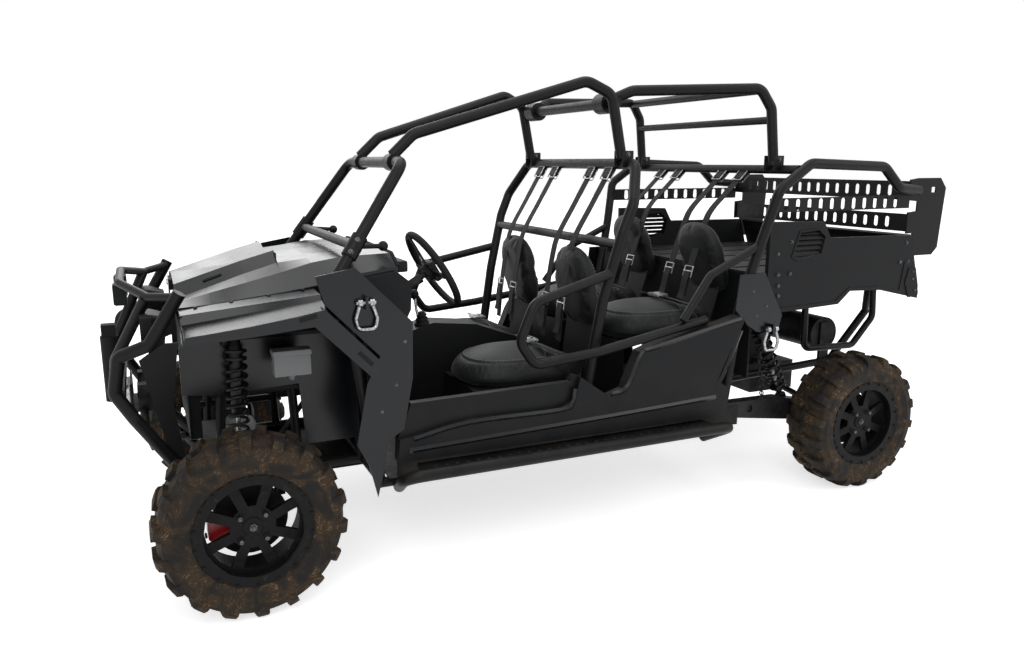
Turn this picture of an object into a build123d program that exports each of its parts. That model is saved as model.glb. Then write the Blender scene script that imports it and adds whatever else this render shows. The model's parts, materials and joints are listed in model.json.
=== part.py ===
"""Four-seat tactical side-by-side: open tube frame, folding upper cage, cargo bed and four lugged wheels.

Millimetres. Places are given from the front axle on the floor: x forward, y left, z up. finish() then
moves every piece so that the origin lies on the floor under the middle of the whole vehicle.
"""
import os
from math import cos, radians, sin

from build123d import *

os.makedirs("parts", exist_ok=True)

# ---- driving dimensions -------------------------------------------------------------------------
WHEELBASE = 2730.0
FRONT_OVERHANG = 430.0      # front axle to the face of the stowed guide roller
REAR_OVERHANG = 515.0       # rear axle to the rear edge of the bed's corner plates
TYRE_RADIUS = 315.0         # out to the lug tips
TYRE_WIDTH_FRONT = 230.0
TYRE_WIDTH_REAR = 215.0
HALF_TRACK_FRONT = 659.0
HALF_TRACK_REAR = 644.0
BEAD_RADIUS = 178.0         # 14 inch wheel
RIM_WALL = 8.0
KINGPIN_Y = 572.0
CAGE_TUBE = 44.0            # roll cage and bumper tube
FRAME_TUBE = 38.0           # lower frame and hip bars
LEG_TUBE = 34.0             # uprights between the rails
TIE_TUBE = 32.0             # tubes that cross between the frame's sides
THIN_TUBE = 25.0
PANEL = 4.0                 # sheet panels
SHELL = 6.0                 # moulded bodywork
HALF_BODY = 620.0           # cargo bed side
RAIL_Z = 340.0              # centre of the lower frame's main rails
RAIL_Y = 290.0
SILL_TUBE_Y = 575.0
AXLE_Z = TYRE_RADIUS
DECK_Z = 1030.0             # top of the cargo deck
DECK_T = 20.0
DECK_FRONT = -2150.0
GAP = 0.3                   # clearance between pieces that rest on each other
RUNNING_FIT = 0.05          # radial clearance of a pin or collar

MIDDLE_X = (REAR_OVERHANG + WHEELBASE - FRONT_OVERHANG) / 2   # front axle, ahead of the middle
REAR_AXLE = -WHEELBASE


# ---- helpers ------------------------------------------------------------------------------------
def finish(name, shape):
    """Writes one node, moved from the front axle's frame to the vehicle's own."""
    placed = Compound([Pos(MIDDLE_X, 0, 0) * solid for solid in shape.solids()])
    export_step(placed, f"parts/{name}.step")


def flip(shape):
    """The same piece on the other side of the vehicle."""
    return mirror(shape, about=Plane.XZ)


def pair(shape):
    """Left and right pieces that don't touch, kept as one node."""
    return Compound([*shape.solids(), *flip(shape).solids()])


def tube(points, diameter, bend=70.0):
    """Round bar along straight runs joined by bends."""
    path = Line(*points) if len(points) == 2 else FilletPolyline(*points, radius=bend)
    return sweep(Plane(origin=path @ 0, z_dir=path % 0) * Circle(diameter / 2), path=path)


def rod(start, end, diameter):
    """Straight round bar from one centre to the other."""
    return tube([start, end], diameter)


def across(x, z, half, diameter):
    """Straight bar across the vehicle, centred on it."""
    return rod((x, -half, z), (x, half, z), diameter)


def side_plate(outline, y, thickness):
    """Plate with an x-z outline, its outer face at y and its thickness towards the middle."""
    face = make_face(Polyline(*[(x, z) for x, z in outline], close=True))
    return extrude(Plane(origin=(0, y, 0), x_dir=(1, 0, 0), z_dir=(0, -1, 0)) * face, thickness)


def box(x0, x1, y0, y1, z0, z1):
    """Box between two corners."""
    return Pos((x0 + x1) / 2, (y0 + y1) / 2, (z0 + z1) / 2) * Box(abs(x1 - x0), abs(y1 - y0), abs(z1 - z0))


def upright(x, y, z0, z1, radius):
    """Round bar standing at x, y from z0 to z1."""
    return Pos(x, y, (z0 + z1) / 2) * Cylinder(radius, z1 - z0)


def fuse(*pieces):
    """One piece from overlapping ones."""
    first, *others = [solid for piece in pieces for solid in piece.solids()]
    return as_part(first.fuse(*others))


def as_part(shape):
    """A part holding every solid of a shape or of a list of shapes."""
    return Compound(list(shape.solids()))


def together(*pieces):
    """Separate pieces kept as one node."""
    return Compound([solid for piece in pieces for solid in piece.solids()])


def cut(shape, *tools):
    """What is left of a piece once its neighbours' room is taken out of it."""
    tool_solids = [solid for tool in tools for solid in tool.solids()]
    return Compound([left for solid in shape.solids() for left in solid.cut(*tool_solids).solids()])


# ---- lower frame --------------------------------------------------------------------------------
RAIL_PATH = [(110, RAIL_Y, RAIL_Z), (-2060, RAIL_Y, RAIL_Z), (-2270, RAIL_Y, 470), (-2930, RAIL_Y, 500),
             (-3120, 330, 760)]
SILL_PATH = [(-455, SILL_TUBE_Y, RAIL_Z), (-2035, SILL_TUBE_Y, RAIL_Z)]
FLOOR_TUBES = [(80, RAIL_Y), (-90, RAIL_Y), (-480, SILL_TUBE_Y), (-1000, SILL_TUBE_Y), (-1510, SILL_TUBE_Y),
               (-2010, SILL_TUBE_Y)]      # x, half width
TOWER_X = 30.0              # front shock tower
TOWER_TOP_Z = 885.0
TOWER_Y = 330.0
DASH_TUBE_X = -430.0
TOWER_LEGS = [(60, TOWER_X), (-230, -200), (-470, DASH_TUBE_X)]        # x at the rail, x at the top
UPPER_ARM_Z = 470.0         # pivots of the upper front arms
ARCH_TUBE_Z = 675.0
BED_FRAME_Z = DECK_Z - DECK_T - GAP - FRAME_TUBE / 2
BED_FRAME_Y = 420.0
BED_FRAME_X = (-2175, -3060)
FRONT_SHOCK = ((0, 425, 462), (-15, 392, 902))
REAR_SHOCK = ((-2446, 480, 418), (-2286, 455, 805))
REAR_GUARD = [(-2610, 425, BED_FRAME_Z), (-2640, 405, 610), (-2955, 405, 600), (-3080, 405, 735),
              (-3040, 425, BED_FRAME_Z)]


def make_lower_frame():
    """Main rails and sill tubes, with the tubes under the floor welded between them."""
    side = together(tube(RAIL_PATH, FRAME_TUBE), tube(SILL_PATH, FRAME_TUBE))
    rails = pair(side)
    ties = [across(x, RAIL_Z, half, TIE_TUBE) for x, half in FLOOR_TUBES]
    return together(rails, cut(together(*ties, across(-2560, 482, RAIL_Y, TIE_TUBE)), rails))


def make_front_frame():
    """Shock towers and the tubes along the top of the front end."""
    legs = [tube([(foot, RAIL_Y, RAIL_Z), (head, TOWER_Y, TOWER_TOP_Z)], LEG_TUBE) for foot, head in TOWER_LEGS]
    top = rod((150, TOWER_Y, TOWER_TOP_Z), (DASH_TUBE_X - 15, TOWER_Y, TOWER_TOP_Z), FRAME_TUBE)
    arm_rail = rod((150, RAIL_Y + 9, UPPER_ARM_Z), (-235, RAIL_Y + 9, UPPER_ARM_Z), 30)
    arch_rail = rod((75, 316, ARCH_TUBE_Z), (-240, 316, ARCH_TUBE_Z), 30)
    shock_mount = rod((-15, TOWER_Y, TOWER_TOP_Z), FRONT_SHOCK[1], THIN_TUBE)
    side = cut(fuse(top, arm_rail, arch_rail, shock_mount, *legs), lower_frame)
    ties = [across(x, TOWER_TOP_Z, TOWER_Y, TIE_TUBE) for x in (TOWER_X, DASH_TUBE_X)]
    return fuse(side, flip(side), *ties)


def make_rear_frame():
    """Tubes that carry the bed on risers from the rails, with the guard tube behind the wheel."""
    rail = rod((BED_FRAME_X[0], BED_FRAME_Y, BED_FRAME_Z), (BED_FRAME_X[1], BED_FRAME_Y, BED_FRAME_Z), FRAME_TUBE)
    riser = rod((-2300, RAIL_Y, 472), (-2250, BED_FRAME_Y, BED_FRAME_Z), LEG_TUBE)
    rear_riser = rod((-3112, 328, 750), (-3030, BED_FRAME_Y - 6, BED_FRAME_Z), LEG_TUBE)
    shock_mount = rod((-2268, 373, 805), REAR_SHOCK[1], THIN_TUBE)
    side = cut(fuse(rail, riser, rear_riser, shock_mount, tube(REAR_GUARD, TIE_TUBE, 45)), lower_frame)
    ties = [across(x, BED_FRAME_Z, BED_FRAME_Y, TIE_TUBE) for x in (-2200, -2960)]
    return fuse(side, flip(side), *ties)


lower_frame = make_lower_frame()
front_frame = make_front_frame()
rear_frame = make_rear_frame()
finish("lower_frame", lower_frame)
finish("front_frame", front_frame)
finish("rear_frame", rear_frame)

# ---- roll cage hoops, fixed ---------------------------------------------------------------------
CAGE_R = CAGE_TUBE / 2
A_BAR_X, A_BAR_Z = -649.0, 1499.0       # crossbar that the front cage hinges on
B_BAR_X, B_BAR_Z = -1588.0, 1492.0
C_BAR_X, C_BAR_Z = -2300.0, 1468.0
LOOP_Y = 672.0              # tube rails over the sides of the bed
A_LEG = [(-470, 575, RAIL_Z + 19), (-405, 578, 800), (-345, 518, 1085), (-640, 408, 1497),
         (A_BAR_X, 300, A_BAR_Z)]
A_SLEEVE = [(-406, 495.3, 1170), (-456, 476.6, 1240)]
MOUNT_BALL = (-554, 420, 1197)          # round stub for a mirror or a gun rest
B_LEG = [(-1300, 575, RAIL_Z + 19), (-1355, 565, 660), (-1405, 575, 960), (-1475, 600, 1230),
         (-1520, 600, 1340), (B_BAR_X, 500, B_BAR_Z), (B_BAR_X, 380, B_BAR_Z)]
C_LEG = [(-2010, 580, RAIL_Z + 19), (-2075, 600, 900), (-2143, 637, 1181), (-2188, LOOP_Y, 1385),
         (-2350, LOOP_Y, 1494), (-2775, LOOP_Y, 1480), (-2880, LOOP_Y, 1385), (-3040, 640, 1372)]


def make_hoop(leg, bar, extra=()):
    """Two bent legs and the bar between them, standing on the sill tubes."""
    side = tube(leg, CAGE_TUBE, 60)
    return cut(fuse(side, flip(side), bar, *extra), lower_frame)


def make_windshield_hoop():
    """Front hoop, its legs in two lengths joined by bolted sleeves, with a lower bar and mount balls."""
    sleeve = rod(*A_SLEEVE, CAGE_TUBE + 14)
    stub = fuse(rod((-440, 474, 1204), MOUNT_BALL, 18), Pos(*MOUNT_BALL) * Sphere(19))
    sides = [shape for piece in (sleeve, stub) for shape in (piece, flip(piece))]
    top = across(A_BAR_X, A_BAR_Z, A_LEG[-1][1], CAGE_TUBE)
    return make_hoop(A_LEG, top, [across(-436, 1206, 480, FRAME_TUBE), *sides])


a_hoop = make_windshield_hoop()
b_hoop = make_hoop(B_LEG, across(B_BAR_X, B_BAR_Z, B_LEG[-1][1], CAGE_TUBE), [across(-1462, 1180, 590, FRAME_TUBE)])
c_hoop = make_hoop(C_LEG, across(C_BAR_X, C_BAR_Z, LOOP_Y - 12, FRAME_TUBE))
finish("windshield_hoop", a_hoop)
finish("middle_hoop", b_hoop)
finish("rear_hoop", c_hoop)

# ---- folding upper cage -------------------------------------------------------------------------
COLLAR_R = CAGE_R + 11
REAR_PIVOT_X, REAR_PIVOT_Z = -1540.0, 1736.0    # cross tube that the rear cage turns on
FRONT_PIVOT_Y, REAR_PIVOT_Y = 250.0, 330.0
REAR_COLLAR_R, REAR_COLLAR_L = 42.0, 80.0
FRONT_CAGE_RAIL = [(A_BAR_X, FRONT_PIVOT_Y, A_BAR_Z + CAGE_R + 4), (-735, FRONT_PIVOT_Y, 1606), (-1410, 405, 1815),
                   (-1515, 425, 1765), (-1564, 428, 1520)]
REAR_CAGE_RAIL = [(REAR_PIVOT_X, REAR_PIVOT_Y, REAR_PIVOT_Z + 4), (-1632, 392, 1786), (-2200, 503, 1806),
                  (-2256, 513, 1725), (C_BAR_X + 20, 517, C_BAR_Z + 36)]
STRAP_CLIP_Y = (120, 400)               # clips for soft panels on the rear cage's low bar


def drum(x, y, z, length, radius):
    """Cylinder lying across the vehicle, centred on y."""
    return Pos(x, y, z) * Rot(90, 0, 0) * Cylinder(radius, length)


def hinged(side, x, y, z, length, radius):
    """A rail whose end turns on a cross tube: its collar is added and the tube's room taken out."""
    return cut(fuse(side, drum(x, y, z, length, radius)), drum(x, y, z, length + 40, CAGE_R + RUNNING_FIT))


def make_front_cage():
    """Rails from the windshield hoop back over the cabin, with the tube that carries the rear cage."""
    side = hinged(tube(FRONT_CAGE_RAIL, CAGE_TUBE, 60), A_BAR_X, FRONT_PIVOT_Y, A_BAR_Z, 70, COLLAR_R)
    return fuse(side, flip(side), across(REAR_PIVOT_X, REAR_PIVOT_Z, 424, CAGE_TUBE))


def make_rear_cage():
    """Rails from the front cage's cross tube back to the rear hoop, with two bars between them."""
    side = hinged(tube(REAR_CAGE_RAIL, CAGE_TUBE, 50), REAR_PIVOT_X, REAR_PIVOT_Y, REAR_PIVOT_Z,
                  REAR_COLLAR_L, REAR_COLLAR_R)
    clips = [box(-2290, -2260, sign * y - 9, sign * y + 9, 1662, 1690) for y in STRAP_CLIP_Y for sign in (-1, 1)]
    return fuse(side, flip(side), across(-2196, 1800, 500, FRAME_TUBE), across(-2258, 1676, 508, TIE_TUBE), *clips)


front_cage = make_front_cage()
rear_cage = make_rear_cage()
finish("front_upper_cage", front_cage)
finish("rear_upper_cage", rear_cage)

# ---- hip bars -----------------------------------------------------------------------------------
FRONT_HIP_BAR = [(-1420, 597, 1067), (-1062, 660, 985), (-1000, 660, 840), (-1064, 660, 745),
                 (-1347, 655, 770), (-1880, 620, 850)]
REAR_HIP_BAR = [(-2125, 627, 1146), (-1891, 625, 1039), (-1750, 640, 859)]


def make_hip_bar():
    """Bent bar beside the front seat that runs on low past the rear seat, and the rear one above it."""
    bar = fuse(tube(FRONT_HIP_BAR, FRAME_TUBE, 55), tube(REAR_HIP_BAR, LEG_TUBE, 55))
    return cut(bar, b_hoop, c_hoop)


hip_bar = make_hip_bar()
finish("hip_bars", pair(hip_bar))

# ---- floor and skid plate -----------------------------------------------------------------------
FLOOR_X = (-500, -2090)
FLOOR_HALF = 606.0
PAN_Z = RAIL_Z + FRAME_TUBE / 2 + GAP
TUNNEL_TOP = PAN_Z + 130


def make_floor():
    """Cabin floor pan with a toe board at the front."""
    pan = box(FLOOR_X[1], FLOOR_X[0], -FLOOR_HALF, FLOOR_HALF, PAN_Z, PAN_Z + PANEL)
    flange = box(FLOOR_X[1], FLOOR_X[0] - 30, FLOOR_HALF - PANEL, FLOOR_HALF, PAN_Z, PAN_Z + 90)
    toe = side_plate([(FLOOR_X[0], PAN_Z), (FLOOR_X[0] + 55, PAN_Z + 330), (FLOOR_X[0] + 50, PAN_Z + 330),
                      (FLOOR_X[0] - 5, PAN_Z)], 300, 600)
    tunnel = box(-2080, -700, -110, 110, PAN_Z, TUNNEL_TOP) - box(-2090, -704, -106, 106, PAN_Z - 1, TUNNEL_TOP - 4)
    return cut(fuse(pan, toe, tunnel, flange, flip(flange)), lower_frame, front_frame, a_hoop, b_hoop, c_hoop)


floor_pan = make_floor()
finish("floor_pan", floor_pan)
SKID_TOP = RAIL_Z - FRAME_TUBE / 2 - GAP
finish("skid_plate", box(-2000, 60, -300, 300, SKID_TOP - PANEL, SKID_TOP))

# ---- bodywork -----------------------------------------------------------------------------------
SEAM_Y, RIDGE_Y, BULGE_FOOT_Y, BULGE_TOP_Y = 446.0, 360.0, 280.0, 200.0
SCOOP_X = -192.0            # rear face of the two bulges, open as air scoops
HOOD_FRONT = [              # x, z at the seam, the ridge, the bulge's foot, the bulge's top edge and the middle
    (165, 1016, 1026, 1028, 1068, 1090),
    (60, 1022, 1052, 1060, 1101, 1096),
    (-70, 1037, 1082, 1103, 1142, 1114),
    (SCOOP_X, 1050, 1112, 1138, 1176, 1150),
]
HOOD_REAR = [
    (SCOOP_X, 1050, 1112, 1138, 1142, 1148),
    (-300, 1066, 1141, 1150, 1156, 1158),
    (-410, 1097, 1158, 1160, 1162, 1164),
    (-600, 1122, 1164, 1166, 1168, 1170),
]
FENDER_OUT_Y = 720.0
LIP_TOP = [(165, 970), (104, 975), (-31, 989), (-179, 1010), (-270, 1027), (-458, 829)]
LIP_BOTTOM = [(-428, 773), (-235, 972), (-29, 954), (165, 944)]
FENDER_DECK = [             # x, then y and z of the seam, the shoulder, the step's foot and the lip
    (165, (SEAM_Y, 1014), (536, 1009), (548, 978), (FENDER_OUT_Y - 2, 966)),
    (-285, (SEAM_Y, 1061), (575, 1056), (590, 1040), (FENDER_OUT_Y - 2, 1010)),
]
LINER_Y = 345.0             # arch's inner wall, inboard of the shock
LINER_LINE = [(160, 880), (172, 860), (172, 691), (68, 676), (-235, 690), (-252, 450), (-460, 450), (-440, 880)]
ARCH_BACK = [(-268, 1000), (-425, 815), (-452, 740), (-466, 450)]       # arch's rear wall, down to the rocker
SIDE_PLATE_Y = 645.0
SIDE_PLATE_LINE = [(-257, 1127), (-392, 1150), (-591, 948), (-586, 744), (-548, 555), (-489, 524), (-475, 431),
                   (-445, 314), (-416, 440), (-376, 521), (-420, 740), (-470, 835), (-285, 1030)]


def hood_face(x, heights, inset, drop):
    """Cross-section of the hood, with its edges drawn in and its skin lowered."""
    places = [SEAM_Y - inset, RIDGE_Y, BULGE_FOOT_Y, BULGE_TOP_Y]
    right = [(-y, z - drop) for y, z in zip(places, heights)]
    left = [(-y, z) for y, z in reversed(right)]
    floor = [(places[0], heights[0] - 60), (-places[0], heights[0] - 60)]
    plane = Plane(origin=(x, 0, 0), x_dir=(0, 1, 0), z_dir=(1, 0, 0))
    return plane * make_face(Polyline(*right, (0, heights[-1] - drop), *left, *floor, close=True))


def hood_loft(sections, inset, drop):
    """Solid through the hood's cross-sections."""
    return loft([hood_face(x, heights, inset, drop) for x, *heights in sections], ruled=True)


def make_hood():
    """Shell over the front with two bulges that end in open scoops, running back to the windshield hoop."""
    outer = fuse(hood_loft(HOOD_FRONT, 0, 0), hood_loft(HOOD_REAR, 0, 0))
    rooms = [Pos(0, 0, -lower) * hood_loft(part, SHELL, SHELL)
             for part in (HOOD_FRONT, HOOD_REAR) for lower in (0, 20)]
    slot = box(2, 68, 231, 249, 1030, 1140)
    return cut(outer, *rooms, slot, flip(slot))


hood = make_hood()
finish("hood", hood)


def make_fender():
    """Shelf over the front wheel with its lip, the flare that drops behind it and the arch's inner wall."""
    lip = side_plate(LIP_TOP + LIP_BOTTOM, FENDER_OUT_Y, SHELL)
    flare_top = [LIP_TOP[-2], LIP_TOP[-1], (-452, 823), (-270, 1017)]
    flare = side_plate(flare_top, FENDER_OUT_Y, FENDER_OUT_Y - SIDE_PLATE_Y - GAP)
    faces = [Plane(origin=(x, 0, 0), x_dir=(0, 1, 0), z_dir=(1, 0, 0)) * make_face(Polyline(
        *top, *[(y, z - SHELL) for y, z in reversed(top)], close=True)) for x, *top in FENDER_DECK]
    nose = box(159, 165, SEAM_Y, 540, 905, 1009)
    back_line = ARCH_BACK + [(x - PANEL, z) for x, z in reversed(ARCH_BACK)]
    liner = fuse(side_plate(LINER_LINE, LINER_Y, PANEL),
                 side_plate(back_line, SIDE_PLATE_Y - PANEL - GAP, SIDE_PLATE_Y - LINER_Y))
    return cut(together(fuse(loft(faces, ruled=True), lip, flare, nose), liner), a_hoop, hood, front_frame)


fender = make_fender()
finish("fenders", pair(fender))

SILL_Y = 662.0
THRESHOLD_Y = 640.0         # inner tier, up to the edge that a boot steps over
SILL_LINE = [(-520, 440), (-527, 525), (-579, 649), (-1229, 658), (-1240, 682), (-1262, 678), (-1398, 581),
             (-1467, 602), (-1533, 753), (-1603, 775), (-1950, 842), (-2027, 862), (-2055, 842), (-1925, 594),
             (-1985, 551), (-1985, 430)]

SILL_LOWER = [(-520, 440), (-527, 525), (-572, 530), (-796, 565), (-1172, 564), (-1238, 588), (-1252, 640)]


def make_sill():
    """Moulded panel along the side below the hip bars: a deep lower tier, an inner threshold, edges turned in."""
    tiers = [(SILL_LINE, THRESHOLD_Y), (SILL_LOWER + SILL_LINE[5:], SILL_Y)]
    outer = fuse(*[side_plate(line, y, y - FLOOR_HALF - GAP) for line, y in tiers])
    pockets = [extrude(Plane(origin=(0, y - SHELL, 0), x_dir=(1, 0, 0), z_dir=(0, -1, 0))
                       * offset(make_face(Polyline(*line, close=True)), -SHELL), 80) for line, y in tiers]
    return cut(outer, *pockets, hip_bar, b_hoop, c_hoop)


sill = make_sill()
finish("sill_panels", pair(sill))
QUARTER_Y = 644.0           # plate over the foot of the rear hoop, with the lug for a tie-down shackle
QUARTER_LINE = [(-2032, 1034), (-2166, 1035), (-2271, 846), (-2250, 762), (-2137, 781), (-2091, 810), (-2016, 885)]
SHACKLE_PLACES = [(-422, SIDE_PLATE_Y, 1030), (-2205, QUARTER_Y, 790)]      # middle of each shackle's pin
LUG_T, LUG_REACH, SHACKLE_PIN, SHACKLE_OUT = 10.0, 30.0, 12.0, 16.0


def make_lug(x, y, z):
    """Ear that stands out from a side plate, with the hole for a shackle's pin."""
    ear = box(x - LUG_T / 2, x + LUG_T / 2, y - 2, y + LUG_REACH, z - 22, z + 22)
    return cut(ear, rod((x - 20, y + SHACKLE_OUT, z), (x + 20, y + SHACKLE_OUT, z), SHACKLE_PIN + 2))


def make_shackle(x, y, z):
    """Bow shackle hanging from a lug by its cross pin."""
    middle = y + SHACKLE_OUT
    bow = tube([(x - 20, middle, z), (x - 38, middle, z - 55), (x - 30, middle, z - 92), (x + 30, middle, z - 92),
                (x + 38, middle, z - 55), (x + 20, middle, z)], 13, 18)
    eyes = [rod((x + sign * 13, middle, z), (x + sign * 28, middle, z), 26) for sign in (-1, 1)]
    return fuse(bow, *eyes, rod((x - 34, middle, z), (x + 34, middle, z), SHACKLE_PIN))


lugs = [make_lug(*place) for place in SHACKLE_PLACES]
front_side = cut(fuse(side_plate(SIDE_PLATE_LINE, SIDE_PLATE_Y, PANEL), lugs[0]), fender, a_hoop, sill)
quarter = cut(fuse(side_plate(QUARTER_LINE, QUARTER_Y, PANEL), lugs[1]), c_hoop, sill, hip_bar)
finish("side_plates", pair(together(front_side, quarter)))
finish("shackles", pair(together(*[make_shackle(*place) for place in SHACKLE_PLACES])))

STEP_Y, STEP_Z = 750.0, 412.0           # middle of the step's outer tube
STEP_ROOT_Z = RAIL_Z - 25   # its ends meet the sill tube from below
STEP_PATH = [(-545, SILL_TUBE_Y, STEP_ROOT_Z), (-515, STEP_Y, STEP_Z), (-1960, STEP_Y, STEP_Z),
             (-1930, SILL_TUBE_Y, STEP_ROOT_Z)]
TREAD_LINE = [(-600, 625), (-575, STEP_Y - 8), (-1900, STEP_Y - 8), (-1875, 625)]     # x, y of the tread plate
STEP_HOLES = [(686, -655), (714, -676)]     # y of a row, x of its first hole
STEP_PITCH, STEP_HOLE_R = 42.0, 8.0


def make_step():
    """Side step: a bent outer tube, a tread plate with rows of holes, and the arms under it."""
    tread = extrude(Plane(origin=(0, 0, STEP_Z - 2), x_dir=(1, 0, 0), z_dir=(0, 0, 1))
                    * make_face(Polyline(*TREAD_LINE, close=True)), PANEL)
    holes = [Pos(first - STEP_PITCH * index, y, STEP_Z) * Cylinder(STEP_HOLE_R, 20)
             for y, first in STEP_HOLES for index in range(29)]
    arms = [rod((x, SILL_TUBE_Y, RAIL_Z - 12), (x, STEP_Y - 12, STEP_Z - 8), THIN_TUBE) for x in (-1000, -1510)]
    return cut(fuse(as_part(tread.cut(*holes)), tube(STEP_PATH, FRAME_TUBE + 8, 60), *arms), lower_frame)


step_bar = make_step()
finish("step_bars", pair(step_bar))

# ---- dash, console and seats --------------------------------------------------------------------
SEAT_Y = 292.0
CUSHION_W = 420.0
BACK_W, BACK_T = 330.0, 80.0
BASE_HALF = 180.0
SEATS = {                   # cushion: rear x, front x, bottom z, top z; back: foot x, z and top x, z
    "front": ((-1370, -870, 610, 735), (-1400, 680), (-1462, 1148)),
    "rear": ((-2020, -1546, 745, 885), (-2040, 862), (-2160, 1250)),
}
STRAP_ROUTES = {            # x, z of the hanger, over the back's top and down at the cushion
    "front": ((B_BAR_X + 6, B_BAR_Z - 14), (-1400, 1152), (-1338, 750)),
    "rear": ((C_BAR_X + 6, C_BAR_Z - 10), (-2102, 1264), (-1975, 905)),
}
STRAP_Y = (172.0, 320.0)    # of the two shoulder straps of a seat
STRAP_W, STRAP_T = 44.0, 3.0


def make_dash():
    """Dash across the cabin: a hollow moulding with a flat lower edge and a round cluster pod."""
    line = [(-452, 1085), (-590, 1105), (-645, 1060), (-640, 960), (-600, 880), (-452, 830)]
    body = side_plate(line, 470, 940)
    inner = offset(make_face(Polyline(*line, close=True)), -5)
    room = extrude(Plane(origin=(0, 465, 0), x_dir=(1, 0, 0), z_dir=(0, -1, 0)) * inner, 930)
    open_front = box(-470, -440, -465, 465, 850, 1070)
    column_hole = rod((-800, 300, 1091), (-430, 300, 869), 50)
    return cut(body, room, open_front, a_hoop, front_frame, hood, column_hole)


dash = make_dash()
finish("dash", dash)
CONSOLE_LINE = [(-705, TUNNEL_TOP + GAP), (-745, 790), (-860, 822), (-1060, 800), (-1330, 700),
                (-1360, TUNNEL_TOP + GAP)]
console = side_plate(CONSOLE_LINE, 72, 144)
finish("console", console)


def back_plane(foot, top):
    """Plane through the middle of a seat back's thickness, up along the back."""
    lean = Vector(top[0] - foot[0], 0, top[1] - foot[1])
    return Plane(origin=(foot[0], SEAT_Y, foot[1]), x_dir=(0, 1, 0), z_dir=(lean.Z, 0, -lean.X)), lean.length


def make_seat(cushion, foot, top):
    """One seat's base with the spine behind its back, the cushion and the back; the soft pieces stay plain."""
    rear, front, low, high = cushion
    base = box(rear + 25, front - 25, SEAT_Y - BASE_HALF, SEAT_Y + BASE_HALF, PAN_Z + PANEL + GAP, low - GAP)
    hollow = box(rear + 29, front - 29, SEAT_Y - 200, SEAT_Y + 200, PAN_Z + PANEL + 30, low - GAP - 8)
    pad = fillet(box(rear, front, SEAT_Y - CUSHION_W / 2, SEAT_Y + CUSHION_W / 2, low, high)
                 .edges().filter_by(Axis.Z), 60)
    plane, height = back_plane(foot, top)
    half = BACK_W / 2
    face = make_face(Polyline((-half, 0), (half, 0), (half, height * 0.78), (half - 60, height), (60 - half, height),
                              (-half, height * 0.78), close=True))
    back = extrude(plane.offset(BACK_T / 2) * face, -BACK_T)
    panel = Pos(0, height * 0.12) * Rectangle(BACK_W - 90, height * 0.44)
    spine = extrude(plane.offset(-BACK_T / 2 - GAP) * panel, -8)
    post = box(rear - 2, rear + 60, SEAT_Y - 110, SEAT_Y - 90, low - 20 - GAP, low - GAP)
    stay = box(foot[0] - BACK_T / 2 - 8, rear + 40, SEAT_Y - 30, SEAT_Y + 30, low - 12 - GAP, low - GAP)
    frame = fuse(cut(base, hollow), stay, post, spine)
    return cut(frame, pad, back, console), cut(pad, back), back


def strap_leg(start, end, y):
    """Flat length of webbing between two x-z points."""
    run = Vector(end[0] - start[0], 0, end[1] - start[1])
    plane = Plane(origin=(start[0], y, start[1]), x_dir=(0, 1, 0), z_dir=(run.Z, 0, -run.X))
    return extrude(plane * (Pos(0, run.length / 2) * Rectangle(STRAP_W, run.length)), STRAP_T)


def make_harness():
    """The shoulder straps of one side's seats."""
    straps = []
    for hanger, bend, low in STRAP_ROUTES.values():
        straps += [fuse(strap_leg(hanger, bend, y), strap_leg(bend, low, y)) for y in STRAP_Y]
    return together(*straps)


frames, pads, backs = [], {}, {}
for row, sizes in SEATS.items():
    frame, pads[row], backs[row] = make_seat(*sizes)
    frames.append(frame)
    finish(f"{row}_seat_cushions", pair(pads[row]))
    finish(f"{row}_seat_backs", pair(backs[row]))
finish("seat_bases", pair(cut(together(*frames), b_hoop)))
finish("harnesses", pair(cut(make_harness(), b_hoop, c_hoop, *pads.values(), *backs.values())))

# ---- cargo bed ----------------------------------------------------------------------------------
BED_SIDE_LINE = [(-2200, 1248), (-2264, 1248), (-2502, 1241), (-2545, 1169), (-3049, 1164), (-3128, 888),
                 (-3125, 859), (-2875, 914), (-2686, 921), (-2619, 865), (-2298, 852), (-2200, 842)]
WALL = 20.0
BED_HALF = HALF_BODY - WALL - GAP
INTAKE_LINE = [(-2362, 1206), (-2476, 1215), (-2521, 1178), (-2500, 1095), (-2358, 1071), (-2322, 1094)]
LATCH_LINE = [(-3050, 1009), (-3092, 1009), (-3118, 920), (-3118, 868), (-3060, 868), (-3030, 940)]
SKIRT_LINE = [(-3140, 880), (-3112, 975), (-3104, 975), (-3132, 880)]
DECK_REAR = -3066.0
DECK_RIBS = 5
GATE_LOW = (-3108, 1000)    # x, z of the tailgate's hinge
GATE_TOP = (-3052, 1158)
GATE_HINGES = (-420, 420)   # y of the two hinges
GATE_EARS = [y + side * 56 for y in GATE_HINGES for side in (-1, 1)]
GATE_PIN_R = 6.0


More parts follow.
